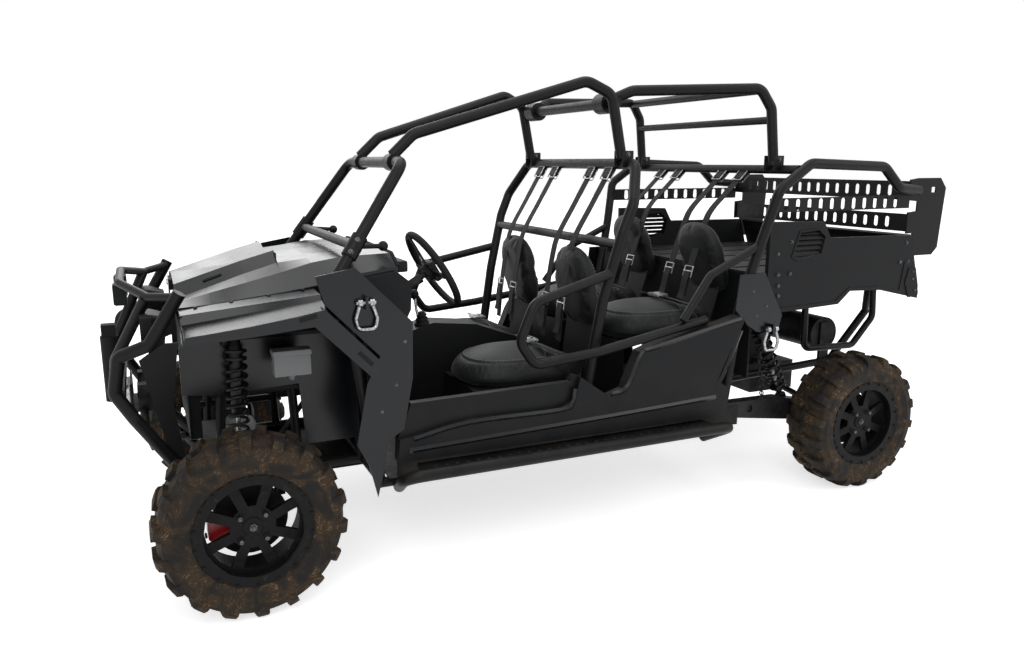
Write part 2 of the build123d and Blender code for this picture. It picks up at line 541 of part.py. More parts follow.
def make_bed_side():
    """One side of the bed, with its louvred intake and the thinner field round it."""
    wall = side_plate(BED_SIDE_LINE, HALF_BODY, WALL)
    recess = side_plate([(-2225, 1040), (-2225, 870), (-2600, 880), (-2680, 938), (-2860, 930), (-3000, 905),
                         (-3020, 1040)], HALF_BODY + 1, 4)
    window = side_plate(INTAKE_LINE, HALF_BODY + 1, WALL + 2)
    slats = [Pos(-2422, HALF_BODY - 9, 1086 + 22 * index) * Rot(35, 0, 0) * Box(230, 3, 20) for index in range(6)]
    louvres = together(*slats) & side_plate(INTAKE_LINE, HALF_BODY - 1, WALL - 2)
    frame = cut(side_plate(INTAKE_LINE, HALF_BODY + 3, 8), extrude(Plane(origin=(0, HALF_BODY + 4, 0),
                x_dir=(1, 0, 0), z_dir=(0, -1, 0)) * offset(make_face(Polyline(*INTAKE_LINE, close=True)), -9), 20))
    latch = side_plate(LATCH_LINE, HALF_BODY + 4, 8)
    return fuse(cut(wall, recess, window), *louvres.solids(), frame, latch)


def make_bed():
    """Flat ribbed deck between two sides, with a skirt below the tailgate and its hinge ears."""
    deck = box(DECK_FRONT, DECK_REAR, -BED_HALF - 1, BED_HALF + 1, DECK_Z - DECK_T, DECK_Z)
    pitch = 2 * BED_HALF / (DECK_RIBS + 1)
    grooves = [box(DECK_FRONT - 40, DECK_REAR + 40, y - 14, y + 14, DECK_Z - 4, DECK_Z + 1)
               for y in (pitch * (index + 1) - BED_HALF for index in range(DECK_RIBS))]
    trim = box(DECK_FRONT, DECK_FRONT + 5, -BED_HALF, BED_HALF, DECK_Z - DECK_T - 6, DECK_Z - 5)
    skirt = side_plate(SKIRT_LINE, BED_HALF + 1, 2 * BED_HALF + 2)
    hangers = [box(-3110, DECK_REAR + 20, y - 3, y + 3, 940, DECK_Z - DECK_T + 2) for y in (-250, 250)]
    ears = [box(-3120, DECK_REAR + 6, y - 4, y + 4, 988, 1012) for y in GATE_EARS]
    pins = [rod((GATE_LOW[0], y - 60, GATE_LOW[1]), (GATE_LOW[0], y + 60, GATE_LOW[1]), 2 * GATE_PIN_R)
            for y in GATE_HINGES]
    side = make_bed_side()
    shell = fuse(cut(deck, *grooves), trim, skirt, *hangers, side, flip(side), *ears, *pins)
    return cut(shell, c_hoop, rear_frame)


bed = make_bed()
finish("cargo_bed", bed)


def make_tailgate():
    """Low rear wall of the bed, leaning forward to its top, with its hinge barrels along the lower edge."""
    half = HALF_BODY - WALL - 8
    lean = Vector(GATE_TOP[0] - GATE_LOW[0], 0, GATE_TOP[1] - GATE_LOW[1])
    plane = Plane(origin=(GATE_LOW[0], 0, GATE_LOW[1]), x_dir=(0, 1, 0), z_dir=(lean.Z, 0, -lean.X))
    panel = extrude(plane * (Pos(0, lean.length / 2 + 8) * Rectangle(2 * half, lean.length - 16)), -WALL)
    ribs = [extrude(plane * (Pos(0, height) * Rectangle(2 * half - 60, 22)), 6) for height in (62, 122)]
    barrels = [rod((GATE_LOW[0], y - 45, GATE_LOW[1]), (GATE_LOW[0], y + 45, GATE_LOW[1]), 24)
               for y in GATE_HINGES]
    leaves = [extrude(plane * (Pos(y, 22) * Rectangle(90, 44)), -8) for y in GATE_HINGES]
    bores = [rod((GATE_LOW[0], y - 70, GATE_LOW[1]), (GATE_LOW[0], y + 70, GATE_LOW[1]),
                 2 * (GATE_PIN_R + RUNNING_FIT)) for y in GATE_HINGES]
    room = [box(-3140, -3070, y - 9, y + 9, 970, 1036) for y in GATE_EARS]
    return cut(fuse(panel, *ribs, *barrels, *leaves), *bores, *room)


finish("tailgate", make_tailgate())
firewall = box(DECK_FRONT, DECK_FRONT - 8, -BED_HALF + 20, BED_HALF - 20, 560, DECK_Z - DECK_T - 6 - GAP)
finish("firewall", cut(firewall, rear_frame, lower_frame, c_hoop, bed))

# ---- bed rack: corner plates and slotted strap bands ----------------------------------------------
PLATE_T = 8.0
CORNER_PLATE = [(-3010, 1420), (-3065, 1427), (-3205, 1427), (-3245, 1380), (-3225, 1100), (-3190, 1066),
                (-3065, 1066), (-3050, 1172), (-3010, 1172), (-3010, 1270), (-3065, 1275), (-3065, 1320),
                (-3010, 1325)]
REAR_BAND_X = -3023.0
REAR_BANDS = [(1326, 1413), (1180, 1262)]       # z
SIDE_BAND_Z = (1290, 1350)
SLOT_W, SLOT_H, SLOT_PITCH = 24.0, 50.0, 66.0


def slot_row(count):
    """Upright rounded slots in a row along x, centred."""
    return [Pos(SLOT_PITCH * (index - (count - 1) / 2), 0) * RectangleRounded(SLOT_W, SLOT_H, SLOT_W / 2 - 1)
            for index in range(count)]


def rear_band(low, high):
    """Slotted band across the rear."""
    half = HALF_BODY - PLATE_T + 2
    face = Rectangle(2 * half, high - low) - slot_row(16)
    plane = Plane(origin=(REAR_BAND_X, 0, (low + high) / 2), x_dir=(0, 1, 0), z_dir=(1, 0, 0))
    return extrude(plane * face, PLATE_T / 2)


def side_band():
    """Slotted band from the rear hoop's leg to the corner plate."""
    low, high = SIDE_BAND_Z
    start, end = Vector(-2168, 637, 0), Vector(-3012, 616, 0)
    run = end - start
    plane = Plane(origin=(start + end) * 0.5 + Vector(0, 0, (low + high) / 2), x_dir=run, z_dir=(run.Y, -run.X, 0))
    return extrude(plane * (Rectangle(run.length, high - low) - slot_row(11)), PLATE_T / 2)


def make_rack():
    """Corner plates, each with a strap slot, joined by the bands."""
    slot = box(-3150, -3180, HALF_BODY - 30, HALF_BODY + 20, 1360, 1385)
    plate = cut(side_plate(CORNER_PLATE, HALF_BODY, PLATE_T), slot)
    side = fuse(plate, side_band())
    return cut(fuse(side, flip(side), *[rear_band(*ends) for ends in REAR_BANDS]), bed, c_hoop)


finish("bed_rack", make_rack())

# ---- drivetrain blocks --------------------------------------------------------------------------
engine_feet = [box(x - 40, x + 40, -RAIL_Y, RAIL_Y, 470, 540) for x in (-2320, -2520)]
engine = cut(fuse(box(-2240, -2590, -230, 230, 510, 790), *engine_feet), lower_frame, rear_frame)
finish("engine", engine)
MUFFLER_HALF = RAIL_Y - 10
muffler = fuse(drum(-2890, 0, 640, 2 * MUFFLER_HALF, 85),
               *[box(-2920, -2860, side * (MUFFLER_HALF - 4), side * (MUFFLER_HALF + 10), 503, 700)
                 for side in (-1, 1)])
finish("muffler", cut(muffler, lower_frame))

# ---- front bumper -------------------------------------------------------------------------------
BUMPER_SIDE = [(159, 495, 1078), (264, 462, 905), (362, 415, 862), (384, 400, 735), (330, 400, 640),
               (215, 360, 450), (100, RAIL_Y, RAIL_Z)]
BUMPER_LOOP = [(170, 480, 1062), (257, 369, 1052), (342, 193, 1083), (342, -193, 1083), (257, -369, 1052),
               (170, -480, 1062)]
BUMPER_BRACE = [(262, 360, 1048), (378, 225, 812), (384, 225, 700)]
STRAP_TOP, STRAP_FOOT = Vector(250, 466, 905), Vector(205, 356, 450)
ROLLER_R = 32.0


def make_bumper():
    """Side tubes that step forward, the loop between their tops, inner braces and the cross plate."""
    plane = Plane(origin=STRAP_FOOT, x_dir=(1, 0, 0), z_dir=Vector(1, 0, 0).cross(STRAP_TOP - STRAP_FOOT))
    reach = (STRAP_TOP - STRAP_FOOT).length
    strap = extrude(plane * make_face(Polyline((-30, 0), (15, 0), (60, reach * 0.5), (95, reach * 0.88),
                    (20, reach), (-30, reach), (0, reach * 0.5), close=True)), 3, both=True)
    side = fuse(tube(BUMPER_SIDE, CAGE_TUBE, 32), tube(BUMPER_BRACE, FRAME_TUBE, 30), strap)
    loop = tube(BUMPER_LOOP, THIN_TUBE + 5, 40)
    low = across(300, 590, 395, THIN_TUBE + 5)
    return cut(fuse(side, flip(side), loop, box(352, 372, -402, 402, 690, 745), low), lower_frame)


bumper = make_bumper()
finish("front_bumper", bumper)
roller = fuse(upright(FRONT_OVERHANG - ROLLER_R, 0, 610, 860, ROLLER_R),
              box(FRONT_OVERHANG - ROLLER_R - 25, FRONT_OVERHANG - ROLLER_R + 25, -25, 25, 855, 905),
              box(372, FRONT_OVERHANG - ROLLER_R, -20, 20, 700, 740))
finish("guide_roller", cut(roller, bumper))
winch = fuse(drum(270, 0, 640, 180, 42), box(225, 315, -130, -80, 596, 690), box(225, 315, 80, 130, 596, 690),
             box(225, 345, -125, 125, 586, 596))
finish("winch", cut(winch, bumper))
radiator = fuse(box(110, 150, -270, 270, 500, 830), box(120, 140, -TOWER_Y, TOWER_Y, 800, TOWER_TOP_Z))
finish("radiator", cut(radiator, front_frame))


def make_headlamp():
    """Lamp housing that narrows to the back, its lens bowl and the arm that holds it to the bumper."""
    faces = [Plane(origin=(x, 312, 945), x_dir=(0, 1, 0), z_dir=(1, 0, 0)) * RectangleRounded(width, height, 14)
             for x, width, height in ((188, 100, 60), (250, 150, 96), (288, 150, 96))]
    bowl = Plane(origin=(276, 312, 945), x_dir=(0, 1, 0), z_dir=(1, 0, 0)) * RectangleRounded(134, 80, 10)
    arm = box(215, 245, 370, 470, 930, 955)
    return cut(fuse(loft(faces, ruled=True), arm), extrude(bowl, 20), bumper)


finish("headlamps", pair(make_headlamp()))
bar_lamp = box(322, 362, 86, 160, 996, 1072)
finish("bar_lamps", pair(cut(bar_lamp, bumper)))

# ---- suspension, fixed at ride height -----------------------------------------------------------
LOWER_BALL_Z, UPPER_BALL_Z = 225.0, 425.0
ARMS = [(LOWER_BALL_Z, 330, 175), (UPPER_BALL_Z, UPPER_ARM_Z, 120)]      # z at the wheel, z at the frame, half spread
EYE_R, EYE_T = 20.0, 24.0
KINGPIN_R = 9.0
COIL_R = 40.0
REAR_HUB_Y = 520.0


def make_arm(wheel_z, frame_z, spread):
    """A-arm with two legs that meet in an eye round the kingpin."""
    hub = (0, KINGPIN_Y, wheel_z)
    root_y = RAIL_Y + 37
    legs = [rod((sign * spread, root_y - 13, frame_z), hub, 24) for sign in (-1, 1)]
    bushes = [rod((sign * spread - 25, root_y, frame_z), (sign * spread + 25, root_y, frame_z), 36)
              for sign in (-1, 1)]
    brace_y, share = 420, (KINGPIN_Y - 420) / (KINGPIN_Y - root_y + 13)
    brace_z = wheel_z + (frame_z - wheel_z) * share
    brace = rod((-spread * share, brace_y, brace_z), (spread * share, brace_y, brace_z), 22)
    eye = upright(0, KINGPIN_Y, wheel_z - EYE_T / 2, wheel_z + EYE_T / 2, EYE_R)
    bore = upright(0, KINGPIN_Y, wheel_z - 34, wheel_z + 34, KINGPIN_R + RUNNING_FIT)
    return cut(fuse(*legs, *bushes, brace, eye), bore)


arms = cut(together(*[make_arm(*arm) for arm in ARMS]), lower_frame, front_frame)
finish("front_arms", pair(arms))


def make_shock(low, high, turns):
    """Coil-over: damper body, its end eyes and the spring's rings round it."""
    start, end = Vector(*low), Vector(*high)
    axis = end - start
    plane = Plane(origin=low, z_dir=axis.normalized())
    length = axis.length
    spring_low, spring_high = 0.14 * length, 0.90 * length
    body = extrude(plane * Circle(COIL_R * 0.6), length)
    step = (spring_high - spring_low) / turns
    rings = [extrude(plane.offset(spring_low + step * index) * Circle(COIL_R), step * 0.42) for index in range(turns)]
    return fuse(body, *rings)


finish("front_shocks", pair(cut(make_shock(*FRONT_SHOCK, 7), arms, front_frame)))


def make_trailing_arm():
    """Boxed arm from its pivot behind the cabin to the rear hub, with the hub's bearing housing."""
    line = [(-2080, 430), (-2060, 385), (-2120, 360), (-2700, 275), (-2790, 290), (-2790, 345), (-2700, 365),
            (-2400, 425)]
    arm = side_plate(line, REAR_HUB_Y, 56)
    lightening = [drum(x, REAR_HUB_Y, z, 24, radius) for x, z, radius in ((-2230, 388, 18), (-2380, 372, 22),
                                                                         (-2540, 348, 20))]
    return fuse(cut(arm, *lightening), drum(-2090, 470, 395, 110, 30),
                drum(REAR_AXLE, REAR_HUB_Y - 10, AXLE_Z, 70, 62))


trailing = make_trailing_arm()
finish("trailing_arms", pair(trailing))
finish("rear_shocks", pair(cut(make_shock(*REAR_SHOCK, 5), trailing, rear_frame)))
FRONT_SHAFT = [(0, 150 + GAP, 420), (0, 440, 345), (0, 496, 331)]      # gearcase, boot and joint at the knuckle
REAR_SHAFT = [(REAR_AXLE, 140 + GAP, 360), (REAR_AXLE, REAR_HUB_Y - 46, AXLE_Z)]
front_shaft = fuse(rod(FRONT_SHAFT[0], FRONT_SHAFT[2], 28), rod(FRONT_SHAFT[1], FRONT_SHAFT[2], 58))
rear_shaft = rod(*REAR_SHAFT, 30)
gearcases = cut(Compound([box(-110, 110, -150, 150, 352, 440), box(-2830, -2555, -140, 140, 330, 480)]),
                lower_frame)
finish("gearcases", gearcases)
finish("half_shafts", pair(cut(together(front_shaft, rear_shaft), gearcases, trailing)))

# ---- wheels -------------------------------------------------------------------------------------
CARCASS_R = TYRE_RADIUS - 16
LUGS = 18
SPINDLE_R = 18.0
DISC_R, DISC_T, DISC_OFFSET = 125.0, 6.0, -22.0         # offset from the wheel's middle, towards the hub
SPOKES = 8
BEADLOCK_NOTCHES = 18
FLANGE_R = 198.0


def ring_of(section):
    """Solid of revolution about the wheel's axle from (radius, offset) points."""
    return revolve(make_face(Polyline(*section, close=True)), Axis.Y)


def make_tyre(width):
    """Carcass with two rows of angled lugs whose shoulders are rounded off, the rows half a pitch apart."""
    half = width / 2
    bead = half * 0.70
    carcass = ring_of([(BEAD_RADIUS, -bead), (BEAD_RADIUS, bead), (BEAD_RADIUS + 26, half * 0.9),
                       (250, half), (CARCASS_R - 16, half * 0.92), (CARCASS_R, half * 0.55),
                       (CARCASS_R, -half * 0.55), (CARCASS_R - 16, -half * 0.92), (250, -half),
                       (BEAD_RADIUS + 26, -half * 0.9)])
    room = ring_of([(CARCASS_R - 60, -1), (TYRE_RADIUS, -1), (TYRE_RADIUS, half * 0.60),
                    (TYRE_RADIUS - 8, half * 0.84), (TYRE_RADIUS - 24, half * 0.97), (CARCASS_R - 60, half * 0.97)])
    outline = [(-22, 5), (12, 5), (25, half * 0.5), (30, half), (-4, half), (-13, half * 0.5)]
    flat = Plane(origin=(0, 0, CARCASS_R - 34), x_dir=(1, 0, 0), z_dir=(0, 0, 1))
    lug = extrude(flat * make_face(Polyline(*outline, close=True)), TYRE_RADIUS - CARCASS_R + 40) & room
    pitch = 360 / LUGS
    other = Rot(0, 0, 180) * lug
    lugs = [Rot(0, pitch * (index + half_step), 0) * piece
            for index in range(LUGS) for half_step, piece in ((0, lug), (0.5, other))]
    return fuse(carcass, *lugs)


def make_rim(width):
    """Beadlock wheel, its outer face towards +y: barrel, notched ring, spoked disc, hub and brake disc."""
    bead = width / 2 * 0.70
    outer = BEAD_RADIUS - GAP
    inner = outer - RIM_WALL
    barrel = ring_of([(inner, -bead - 9), (FLANGE_R, -bead - 9), (FLANGE_R, -bead - 3), (outer, -bead - GAP),
                      (outer, bead + GAP), (FLANGE_R, bead + 6), (FLANGE_R, bead + 17), (160, bead + 17),
                      (160, bead + 3), (inner, bead + 3)])
    notch = Pos(FLANGE_R + 2, bead + 15, 0) * Box(16, 10, 26)
    notches = [Rot(0, 360 / BEADLOCK_NOTCHES * index, 0) * notch for index in range(BEADLOCK_NOTCHES)]
    bore = SPINDLE_R + RUNNING_FIT
    disc = ring_of([(bore, 30), (inner + 2, 38), (inner + 2, 52), (130, 50), (66, 58), (bore, 58)])
    window = extrude(Plane(origin=(0, 20, 0), x_dir=(1, 0, 0), z_dir=(0, 1, 0)) * make_face(
        Polyline((74, -13), (146, -41), (154, 0), (146, 41), (74, 13), close=True)), 50)
    windows = [Rot(0, 360 / SPOKES * index, 0) * window for index in range(SPOKES)]
    hub = ring_of([(bore, DISC_OFFSET - 12), (34, DISC_OFFSET - 12), (34, 60), (bore, 60)])
    brake = ring_of([(30, DISC_OFFSET), (DISC_R, DISC_OFFSET), (DISC_R, DISC_OFFSET + DISC_T),
                     (30, DISC_OFFSET + DISC_T)])
    return fuse(cut(barrel, *notches), cut(disc, *windows), hub, brake)


WHEELS = {"front": (0.0, HALF_TRACK_FRONT, TYRE_WIDTH_FRONT), "rear": (REAR_AXLE, HALF_TRACK_REAR, TYRE_WIDTH_REAR)}
for end, (x, y, width) in WHEELS.items():
    place = Pos(x, y, AXLE_Z)
    rim = place * make_rim(width)
    tyre = cut(place * make_tyre(width), rim)
    for side_name, turned in (("left", as_part), ("right", flip)):
        finish(f"{end}_{side_name}_tyre", turned(tyre))
        finish(f"{end}_{side_name}_rim", turned(rim))

# ---- knuckles, brakes and steering --------------------------------------------------------------
TIE_ROD_X, TIE_ROD_Z, TIE_ROD_R = -120.0, 374.0, 8.0
TIE_ROD_END = KINGPIN_Y - 25
RUNNING_GAP = 5.0
PLATE_Z = (266, 392)        # flat part of the knuckle, between its bosses


def make_knuckle():
    """Upright with its kingpins and bosses, the spindle, the steering arm and the caliper's lug."""
    low, high = PLATE_Z
    plate = side_plate([(-26, low), (26, low), (42, AXLE_Z), (30, high), (-30, high), (-42, AXLE_Z)],
                       KINGPIN_Y + 18, 34)
    bosses = [upright(0, KINGPIN_Y, low - 16, low + 4, 16), upright(0, KINGPIN_Y, high - 4, high + 14, 16)]
    pins = [upright(0, KINGPIN_Y, LOWER_BALL_Z - EYE_T / 2, low, KINGPIN_R),
            upright(0, KINGPIN_Y, high, UPPER_BALL_Z + EYE_T / 2, KINGPIN_R)]
    spindle = rod((0, KINGPIN_Y, AXLE_Z), (0, HALF_TRACK_FRONT + 62, AXLE_Z), 2 * SPINDLE_R)
    shoulder = rod((0, KINGPIN_Y, AXLE_Z), (0, HALF_TRACK_FRONT + DISC_OFFSET - 14, AXLE_Z), 70)
    arm_z = TIE_ROD_Z - TIE_ROD_R - RUNNING_GAP
    arm = box(TIE_ROD_X - 12, -20, KINGPIN_Y - 40, KINGPIN_Y - 12, arm_z - 12, arm_z)
    lug = box(20, 92, KINGPIN_Y + 2, KINGPIN_Y + 16, 280, 320)
    return fuse(plate, *bosses, *pins, shoulder, spindle, arm, lug)


knuckle = make_knuckle()
finish("front_left_knuckle", knuckle)
finish("front_right_knuckle", flip(knuckle))


def make_caliper(disc_y, back_y, x):
    """Caliper straddling the brake disc, ahead of the axle at x."""
    body = fillet(box(x + 72, x + 138, back_y, disc_y + DISC_T + 16, 262, 330).edges().filter_by(Axis.Y), 12)
    slot = box(x + 60, x + 131, disc_y - 4, disc_y + DISC_T + 4, 250, 340)
    return body - slot


front_caliper = cut(make_caliper(HALF_TRACK_FRONT + DISC_OFFSET, KINGPIN_Y + 16, 0), knuckle)
finish("front_left_caliper", front_caliper)
finish("front_right_caliper", flip(front_caliper))
rear_caliper = cut(make_caliper(HALF_TRACK_REAR + DISC_OFFSET, REAR_HUB_Y, REAR_AXLE), trailing)
finish("rear_calipers", pair(rear_caliper))
rear_spindle = rod((REAR_AXLE, REAR_HUB_Y + 25, AXLE_Z), (REAR_AXLE, HALF_TRACK_REAR + 62, AXLE_Z), 2 * SPINDLE_R)
finish("rear_spindles", pair(rear_spindle))

rack_feet = [box(TIE_ROD_X - 22, TIE_ROD_X + 22, side * 268, side * 308, RAIL_Z, TIE_ROD_Z) for side in (-1, 1)]
rods = across(TIE_ROD_X, TIE_ROD_Z, TIE_ROD_END, 2 * TIE_ROD_R)
rack_body = cut(fuse(across(TIE_ROD_X, TIE_ROD_Z, 308, 36), rods, *rack_feet), lower_frame, gearcases)
finish("steering_rack", rack_body)

WHEEL_TILT = 31.0           # of the steering wheel's plane from upright, degrees
WHEEL_AT = (-787.0, 300.0, 1084.0)
WHEEL_R, GRIP_R = 161.0, 14.0
AXIS_X, AXIS_Z = -cos(radians(WHEEL_TILT)), sin(radians(WHEEL_TILT))
COLUMN_R = 19.0


def along_column(distance):
    """Point on the column's axis, measured forward from the steering wheel's middle."""
    return (WHEEL_AT[0] - AXIS_X * distance, WHEEL_AT[1], WHEEL_AT[2] - AXIS_Z * distance)


def make_steering_wheel():
    """Rim, three spokes and a hub that sits on the end of the column."""
    plane = Plane(origin=along_column(0), x_dir=(0, 1, 0), z_dir=(AXIS_X, 0, AXIS_Z))
    grip = plane.location * Torus(WHEEL_R, GRIP_R)
    spokes = [plane.location * Rot(0, 0, angle) * Pos(WHEEL_R / 2, 0, -14) * Box(WHEEL_R, 24, 6)
              for angle in (0, 180, 270)]
    hub = extrude(plane.offset(-40) * Circle(34), 30)
    socket = extrude(plane.offset(-41) * Circle(COLUMN_R / 2 + RUNNING_FIT), 26)
    return cut(fuse(grip, hub, *spokes), socket)


steering_wheel = make_steering_wheel()
finish("steering_wheel", steering_wheel)
upper_column = fuse(rod(along_column(16), along_column(120), COLUMN_R),
                    rod(along_column(60), along_column(350), 2 * COLUMN_R))
lower_column = cut(rod(along_column(340), (TIE_ROD_X, 190, TIE_ROD_Z), 20), upper_column)
finish("steering_column", cut(together(upper_column, lower_column), front_frame, rack_body, dash, fender))
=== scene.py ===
"""Looks of a four-seat side-by-side: coats, rubber, fabric, webbing, springs, fasteners, camera, light."""
import json
import math

import bmesh
import bpy
from mathutils import Matrix, Vector
from mathutils.bvhtree import BVHTree


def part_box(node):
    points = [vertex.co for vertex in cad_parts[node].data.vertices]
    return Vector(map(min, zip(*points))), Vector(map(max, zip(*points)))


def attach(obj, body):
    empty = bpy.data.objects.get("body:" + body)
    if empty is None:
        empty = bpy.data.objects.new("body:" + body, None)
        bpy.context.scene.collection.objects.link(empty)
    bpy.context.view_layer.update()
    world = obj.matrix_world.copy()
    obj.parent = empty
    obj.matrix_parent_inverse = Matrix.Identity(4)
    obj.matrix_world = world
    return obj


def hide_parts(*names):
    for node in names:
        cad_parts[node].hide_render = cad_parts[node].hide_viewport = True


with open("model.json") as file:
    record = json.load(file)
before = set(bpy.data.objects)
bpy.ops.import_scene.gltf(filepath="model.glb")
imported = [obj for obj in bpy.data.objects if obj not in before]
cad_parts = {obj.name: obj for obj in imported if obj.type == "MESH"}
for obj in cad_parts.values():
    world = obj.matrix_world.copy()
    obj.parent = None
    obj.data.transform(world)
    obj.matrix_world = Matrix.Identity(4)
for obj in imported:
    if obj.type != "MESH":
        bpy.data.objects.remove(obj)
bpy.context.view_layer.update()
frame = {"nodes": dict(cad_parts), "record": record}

# ---- frame of sizes ----------------------------------------------------------------------------------
MM = 0.001
AXLE_X = 1.4075                                       # front axle, ahead of the middle of the vehicle
AXLE_Z = 315.0                                        # every axle above the floor, in millimetres
IMAGE_WIDTH = 1024
SENSOR = 36.0


def at(x, y, z):
    """Point from millimetres ahead of the front axle, left and up."""
    return Vector((AXLE_X + x * MM, y * MM, z * MM))


# ---- camera, floor and light -------------------------------------------------------------------------
CAMERA_AT = at(268.6, 3395.6, 1501.3)
CAMERA_YAW, CAMERA_PITCH = -114.3236, -11.8537        # degrees, from +x and from level
FOCAL_PIXELS = 825.865
PAPER_GLOW = 0.66                                     # near the vehicle, so that its shadow stays
SHADOW_NEAR, SHADOW_FAR = 2.2, 7.0                    # metres over which the paper turns fully white
SURROUND = 0.30                                       # strength of the surround as a light
LAMPS = [                   # name, place, size, power
    ("key", (3.0, 5.5, 4.5), 4.5, 200),
    ("side", (-4.5, 4.5, 4.0), 4.0, 120),
    ("top", (0.0, 0.0, 6.0), 5.0, 170),
    ("back", (0.5, -5.5, 4.0), 4.0, 110),
]


def add_camera():
    """Camera a little above the hood's left side, looking back along the vehicle."""
    data = bpy.data.cameras.new("camera")
    data.sensor_width = SENSOR
    data.lens = FOCAL_PIXELS * SENSOR / IMAGE_WIDTH
    data.clip_end = 100
    camera = bpy.data.objects.new("camera", data)
    bpy.context.scene.collection.objects.link(camera)
    camera.location = CAMERA_AT
    camera.rotation_euler = (math.radians(90 + CAMERA_PITCH), 0, math.radians(CAMERA_YAW - 90))
    bpy.context.scene.camera = camera


def linear(hex_colour):
    """Linear colour of an sRGB hex value."""
    channels = [int(hex_colour[index:index + 2], 16) / 255 for index in (1, 3, 5)]
    return [c / 12.92 if c <= 0.04045 else ((c + 0.055) / 1.055) ** 2.4 for c in channels] + [1.0]


def add(tree, kind, inputs=None, to=None, **settings):
    """Adds a node with its settings and links; an input is a value, a hex colour or a socket."""
    node = tree.nodes.new(kind)
    for name, value in settings.items():
        setattr(node, name, value)
    for name, value in (inputs or {}).items():
        if isinstance(value, bpy.types.NodeSocket):
            tree.links.new(value, node.inputs[name])
        else:
            node.inputs[name].default_value = linear(value) if isinstance(value, str) else value
    if to:
        tree.links.new(node.outputs[0], to)
    return node


def seen_directly(tree):
    """One for a ray that comes from the eye, a mirror or glass, else nought."""
    path = add(tree, "ShaderNodeLightPath")
    eye, mirror, glass = [path.outputs[f"Is {kind} Ray"] for kind in ("Camera", "Glossy", "Transmission")]
    first = add(tree, "ShaderNodeMath", {0: eye, 1: mirror}, operation="MAXIMUM")
    return add(tree, "ShaderNodeMath", {0: first.outputs[0], 1: glass}, operation="MAXIMUM").outputs[0]


def add_floor_and_light():
    """Pale floor, white surround and large soft lamps."""
    scene = bpy.context.scene
    mesh = bpy.data.meshes.new("floor")
    mesh.from_pydata([(-30, -30, 0), (30, -30, 0), (30, 30, 0), (-30, 30, 0)], [], [(0, 1, 2, 3)])
    floor = bpy.data.objects.new("floor", mesh)
    scene.collection.objects.link(floor)
    paper = bpy.data.materials.new("studio_paper")
    paper.use_nodes = True
    tree = paper.node_tree
    shader = tree.nodes["Principled BSDF"]
    shader.inputs["Base Color"].default_value = linear("#f2f2f2")
    shader.inputs["Roughness"].default_value = 0.95
    shader.inputs["Emission Color"].default_value = linear("#ffffff")
    place = add(tree, "ShaderNodeTexCoord").outputs["Object"]
    away = add(tree, "ShaderNodeVectorMath", {0: place}, operation="LENGTH").outputs["Value"]
    lift = add(tree, "ShaderNodeMapRange", {"Value": away, "From Min": SHADOW_NEAR, "From Max": SHADOW_FAR,
                                            "To Min": PAPER_GLOW})
    add(tree, "ShaderNodeMath", {0: seen_directly(tree), 1: lift.outputs[0]},
        shader.inputs["Emission Strength"], operation="MULTIPLY")
    mesh.materials.append(paper)
    world = bpy.data.worlds.new("surround")
    world.use_nodes = True
    tree = world.node_tree
    sky = tree.nodes["Background"]
    sky.inputs["Color"].default_value = linear("#ffffff")
    add(tree, "ShaderNodeMapRange", {"Value": seen_directly(tree), "To Min": SURROUND, "To Max": 1.0},
        sky.inputs["Strength"])
    scene.world = world
    for name, place, wide, power in LAMPS:
        data = bpy.data.lights.new(name, "AREA")
        data.size = wide
        data.energy = power
        lamp = bpy.data.objects.new(name, data)
        scene.collection.objects.link(lamp)
        lamp.location = place
        lamp.rotation_euler = (Vector((0, 0, 0.8)) - Vector(place)).to_track_quat("-Z", "Y").to_euler()
    scene.view_settings.view_transform = "Standard"


add_camera()
add_floor_and_light()


# ---- finishes ----------------------------------------------------------------------------------------
def start_finish(name, colour, roughness, metallic=0.0, ior=1.5, shine=0.5):
    """New material with plain values; returns it, its tree, its shader and a point's place in metres."""
    material = bpy.data.materials.new(name)
    material.use_nodes = True
    tree = material.node_tree
    shader = tree.nodes["Principled BSDF"]
    shader.inputs["Base Color"].default_value = linear(colour)
    for socket, value in (("Roughness", roughness), ("Metallic", metallic), ("IOR", ior),
                          ("Specular IOR Level", shine)):
        shader.inputs[socket].default_value = value
    return material, tree, shader, add(tree, "ShaderNodeTexCoord").outputs["Object"]


def per_mm(width):
    """Scale of a pattern whose repeat is that many millimetres."""
    return 1 / (width * MM)


def per_wave_mm(pitch):
    """Scale of a wave pattern whose bands are that many millimetres apart."""
    return per_mm(6.28 * pitch)


def wear(tree, shader, value, low, high, colour, worn):
    """Base colour going from one to another as a pattern passes from low to high; returns the share."""
    share = add(tree, "ShaderNodeMapRange", {"Value": value, "From Min": low, "From Max": high}).outputs[0]
    mix = add(tree, "ShaderNodeMix", {0: share, 6: colour, 7: worn}, data_type="RGBA")
    tree.links.new(mix.outputs[2], shader.inputs["Base Color"])
    return share


